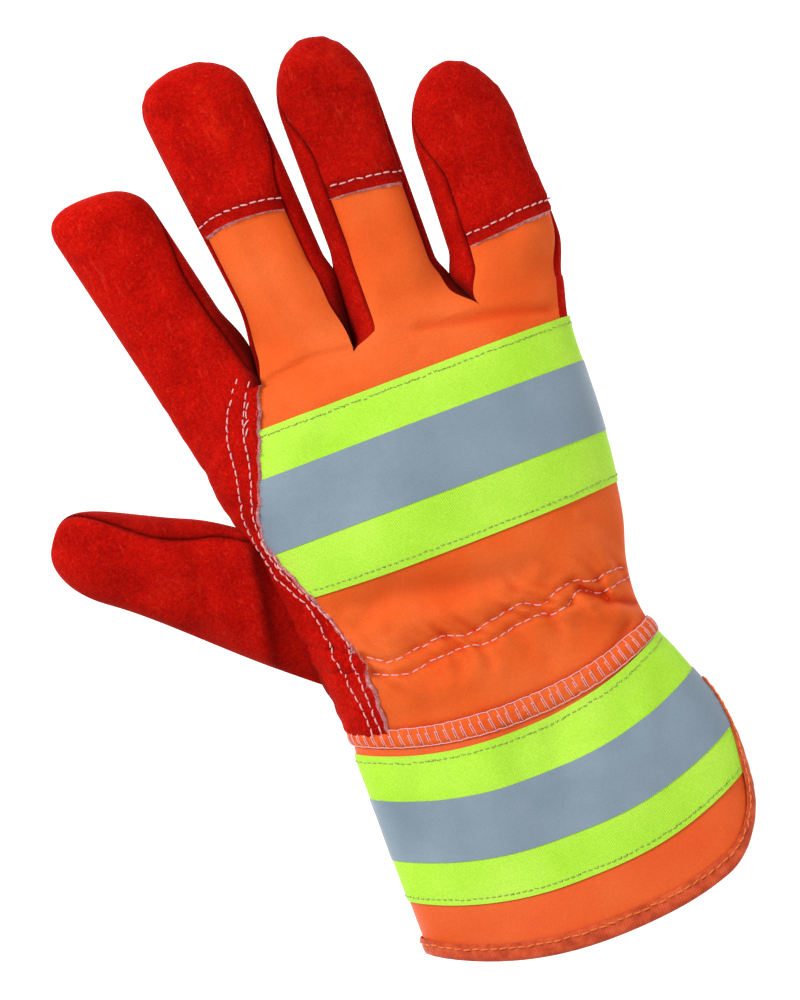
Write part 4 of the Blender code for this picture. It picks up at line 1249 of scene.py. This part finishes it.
def binding_line(inset):
    """The bound edge laid flat, inset from the edge: up the slit, round the corners, along the hem."""
    radius = CORNER - inset
    top = SLIT_TOP_Y + 1.0
    up = np.linspace(top, HEM_Y + CORNER, 22)[:-1]
    turn = np.linspace(0, PI / 2, 20)
    hem_x = np.linspace(CORNER, CUFF_LENGTH - CORNER, 150)[1:-1]
    left = [(inset * float(edge_width(y)), y) for y in up]
    left += [(CORNER - radius * math.cos(t), HEM_Y + CORNER - radius * math.sin(t)) for t in turn]
    flat = [(x, HEM_Y + inset) for x in hem_x]
    right = [(CUFF_LENGTH - x, y) for x, y in left[::-1]]
    return np.array(left + flat + right)


def cuff_line(flat):
    """Points and outward normals at (distance, row) on the cuff."""
    base, normal = with_normals(cuff, flat[:, 0] / CUFF_UNIT, flat[:, 1])
    outward = np.sum(normal * (base - (5, -40, 16)), axis=1, keepdims=True)
    return base, np.where(outward < 0, -normal, normal)


def build_binding():
    """A tape folded over the cut edge: down the outside, round the edge and back inside."""
    section = ((BOUND, 0.75), (BOUND - 0.5, 1.05), (3.4, 1.0), (1.6, 1.1), (0.5, 0.95), (0.0, 0.3),
               (-0.05, -0.5), (0.4, -1.4), (1.6, -1.75), (3.4, -1.7), (BOUND - 0.4, -1.6))
    lines = []
    for inset, height in section:
        base, normal = cuff_line(binding_line(inset))
        t = np.arange(len(base))
        lines.append(base + normal * (height + 0.06 * np.sin(t * 1.9 + inset))[:, None])
    base, normal = cuff_line(binding_line(BOUND))
    toward = np.zeros((len(section),) + normal.shape)
    toward[1] = normal
    return Sheet.from_grid(np.stack(lines, axis=0), 0.35, toward)


attach(build_binding().piece("cuff_edge_binding", (BINDING, BINDING, BINDING)), "cuff", ["cuff_binding"])
base, normal = cuff_line(binding_line(BOUND - 1.3))
sew("cuff_binding_stitches", (base + normal * 1.05, normal), ORANGE_THREAD, "cuff", BINDING_GAUGE)


# ---- wrist seam

WELT_UNIT = 10.0                # travel over the welt is its angle times this, so that steps stay small
WELT_Y = -1.3


def welt(phi, v):
    """A rolled, overlocked ridge round the wrist: v goes round the ridge, from cuff to hand."""
    turn = v / WELT_UNIT
    y = -0.8 - 2.35 * np.cos(turn)
    base, normal = with_normals(trunk, phi, y)
    return base + normal * (0.10 + 1.0 * np.sin(turn))[..., None]


welt_rows = np.linspace(0.15, PI - 0.15, 9) * WELT_UNIT
columns = np.tile(spaced(trunk, [WELT_Y], 0.01, 2 * PI - 0.01, 240), (9, 1))
seam = Sheet(welt, welt_rows, columns, lambda phi, v, p: 0.12 * waves(p[..., 0], p[..., 1], 4.0, 90), 0.8)
attach(seam.piece("wrist_welt", CLOTH), "cuff", ["wrist_overlock_seam"])


def welt_point(phi, level):
    """level 0 is the cuff's edge of the ridge, 1 the hand's edge."""
    return with_normals(welt, phi, level * PI * WELT_UNIT)


around = spaced(trunk, [WELT_Y], 0.02, 2 * PI - 0.02, 900)[0]
threads = Tubes()
for level, wobble in ((0.90, 0.10), (0.10, 0.08)):
    p, n = welt_point(around, level + 0.02 * np.sin(np.arange(len(around)) * 0.35))
    running_thread(threads, p, n, 0.16, 0.15, wobble)
k = 4.0
while k < len(around) - 10:
    lean = rng.normal(0, 1.0)
    for shift, top, bottom in ((0.0, 0.92, 0.08), (1.0, 0.60, 0.56), (2.5, 0.60, 0.26)):
        levels = np.linspace(bottom, top, 7)
        if top - bottom < 0.1:
            shift = np.linspace(0.0, 2.6, 7)
        at = np.clip(k + shift + lean * (levels - 0.5) * 2.0 + 2.6 * (levels - 0.5), 0, len(around) - 1)
        phi = np.interp(at, np.arange(len(around)), around)
        p, n = welt_point(phi, levels)
        threads.add(p + n * 0.12 + rng.normal(0, 0.03, p.shape), np.full(7, 0.14), sides=5)
    k += 11.2 + rng.normal(0, 0.6)
attach(threads.object("wrist_overlock_threads", PINK_THREAD), "cuff", ())


# ---- rows of stitches

def on_back(x, y, lift):
    phi, row = on_trunk(x, y)
    p, n = with_normals(trunk, phi, row)
    return p + n * lift, n


def strip_line(row, start, end, shift=0.0):
    """A row of stitches on the leather border, in real y."""
    y = np.linspace(start, end, int(abs(end - start)) * 2)
    p, n = on_back(row_x(y, row) + shift, y, 0.0)
    lift = strip_lift(p[:, 0], p[:, 1])
    return p + n * (lift + 0.12)[:, None], n


def on_index(x, y):
    """Points of the index finger's back at real x, y."""
    surface = make_finger("index")
    angles = np.linspace(math.radians(20), math.radians(170), 300)
    grid = surface(*np.broadcast_arrays(angles[None, :], y[:, None]))[..., 0]
    phi = np.array([np.interp(at, across[::-1], angles[::-1]) for at, across in zip(x, grid)])
    return with_normals(surface, phi, y)


for label, row, top in (("inner", INNER_ROW, 103.2), ("outer", OUTER_ROW, 105.8)):
    y = np.linspace(100.3, top, 12)
    p, n = on_index(row_x(y, row), y)
    lift = strip_lift(p[:, 0], p[:, 1]) * (1.0 - ease((y - 101.0) / 13.0)) + 0.12
    line = (p + n * lift[:, None], n)
    sew("strip_stitches_" + label + "_index", line, PINK_THREAD, root_zone("index"), BORDER_GAUGE)
for label, row, top in (("inner", INNER_ROW, 99.6), ("outer", OUTER_ROW, 99.8)):
    for end, rule, low, high in (("", "hand", 25.0, top), ("_wrist", WRIST_ZONE, -2.6, 25.0)):
        sew("strip_stitches_" + label + end, strip_line(row, low, high), PINK_THREAD, rule, BORDER_GAUGE)
backtack = Tubes()
for start, end, shift in ((88.0, 98.2, 1.0), (50.0, 61.0, 0.9)):
    stitch(backtack, strip_line(INNER_ROW, start, end, shift), BACKTACK_GAUGE, wander=0.3)
attach(backtack.object("strip_backtacks", PINK_THREAD), "hand", ())

x = np.linspace(-33.6, 43.8, 200)
for label, source in (("upper", GATHER_TOP), ("lower", GATHER_LOW)):
    sew("gather_stitches_" + label, on_back(x, gather_line(x, source), 0.02), PINK_THREAD, WRIST_ZONE,
        GATHER_GAUGE)


def tape_row(stem, points, normals, body):
    """Stitches along the edge of a tape, with dark discs of painted shade for the needle's holes between
    them.
    """
    sew(stem, (points, normals), TAPE_THREAD, body, TAPE_GAUGE, lift=0.02)
    p, n = resample(points, normals, TAPE_GAUGE[0])
    holes = Tubes()
    for at, up in zip(p, n):
        if rng.uniform() < 0.85:
            at = at + rng.normal(0, 0.07, 3)
            radii = np.array([0.24, 0.21]) * rng.uniform(0.7, 1.2)
            holes.add([at - up * 0.25, at + up * 0.035], radii, sides=7)
    attach(holes.object(stem + "_holes", HOLE), body, ())


for label, row in (("upper", 86.6), ("lower", 42.0)):
    left = float(trunk_angle(np.array([row]), border_x, 0.4)[0])
    p, n = with_normals(trunk, np.linspace(math.radians(-14), left, 220), row)
    tape_row("tape_stitches_hand_" + label, p + n * 0.46, n, "hand")
distance = np.linspace(BOUND + 0.5, CUFF_LENGTH - BOUND - 0.5, 500)
for label, row in (("upper", -6.6), ("lower", -46.4)):
    p, n = cuff_line(np.stack([distance, row + tilt(distance)], -1))
    tape_row("tape_stitches_cuff_" + label, p + n * 0.44, n, "cuff")

# fuzzy cut edge along the leather border
for stem, first, last, rule in (("strip_fuzz", 31.0, 99.5, "hand"),
                                ("strip_fuzz_wrist", 0.5, 30.9, WRIST_ZONE)):
    keep = (strip.rows >= first) & (strip.rows <= last)
    p, n = strip.top[keep, 0], strip.normal[keep, 0]
    out = unit(p - strip.top[keep, 1])
    fuzz = fibres(stem, p - n * 0.6, n, out, int(11 * (last - first)), 0.95, PINK_THREAD)
    attach(fuzz, rule, ())


# ---- inside

rows = np.linspace(8.0, 20.0, 11)
columns = spaced(under_gathers, rows, math.radians(22), math.radians(138), 90)
sheet = Sheet(under_gathers, rows, columns,
              lambda phi, v, p: -0.9 + 0.35 * np.sin(p[..., 0] * 2 * PI / 4.2), 0.8)
sheet_piece(sheet, "elastic_inside_wrist", (ELASTIC, ELASTIC, ELASTIC), WRIST_ZONE, "wrist_elastic")
rows = rows_with(-2.0, 96.0, 3.0, WRIST_CUT)
columns = spaced(trunk, rows, math.radians(190), math.radians(350), 60)
sheet = Sheet(trunk, rows, columns, lambda phi, v, p: -1.5 + 0.2 * waves(p[..., 0], p[..., 1], 9, 95), 0.5)
at_wrist(sheet, "lining", (LINING, LINING, LINING), "palm_lining", row_near(rows, WRIST_CUT))


# ---- stage

def stage():
    mesh = bpy.data.meshes.new("ground")
    size, drop = 3.0, -0.13
    corners = [(-size, -size, drop), (size, -size, drop), (size, size, drop), (-size, size, drop)]
    mesh.from_pydata(corners, [], [(0, 1, 2, 3)])
    ground = linked("ground", mesh)
    look = Look("ground", 0.9, specular=0.1)
    look.colour(look.ramp(look.noise(3.0, 1), (0.3, (0.93, 0.93, 0.93)), (0.7, (0.96, 0.96, 0.96))))
    look.set("Emission Color", (1.0, 1.0, 1.0, 1.0))
    look.set("Emission Strength", 0.45)
    mesh.materials.append(look.material)

    world = bpy.data.worlds.new("studio")
    world.use_nodes = True
    world.node_tree.nodes["Background"].inputs["Color"].default_value = (1.0, 1.0, 1.0, 1.0)
    world.node_tree.nodes["Background"].inputs["Strength"].default_value = 0.50
    bpy.context.scene.world = world

    for name, at, size, power in (("key", (-0.52, 0.66, 0.62), 0.40, 9.2),
                                  ("fill", (0.6, -0.4, 0.9), 0.9, 3.2)):
        data = bpy.data.lights.new(name, "AREA")
        data.size = size
        data.energy = power
        lamp = linked(name, data)
        lamp.location = at
        lamp.rotation_euler = (-Vector(at)).to_track_quat("-Z", "Y").to_euler()

    data = bpy.data.cameras.new("camera")
    data.sensor_width = 36.0
    data.lens = 154.3
    data.clip_end = 20.0
    camera = linked("camera", data)
    camera.location = (-0.0092, -0.0033, 1.22)
    camera.rotation_euler = (0.0, 0.0, math.atan2(-0.352, 0.936))
    bpy.context.scene.camera = camera
    bpy.context.scene.view_settings.view_transform = "Standard"


stage()
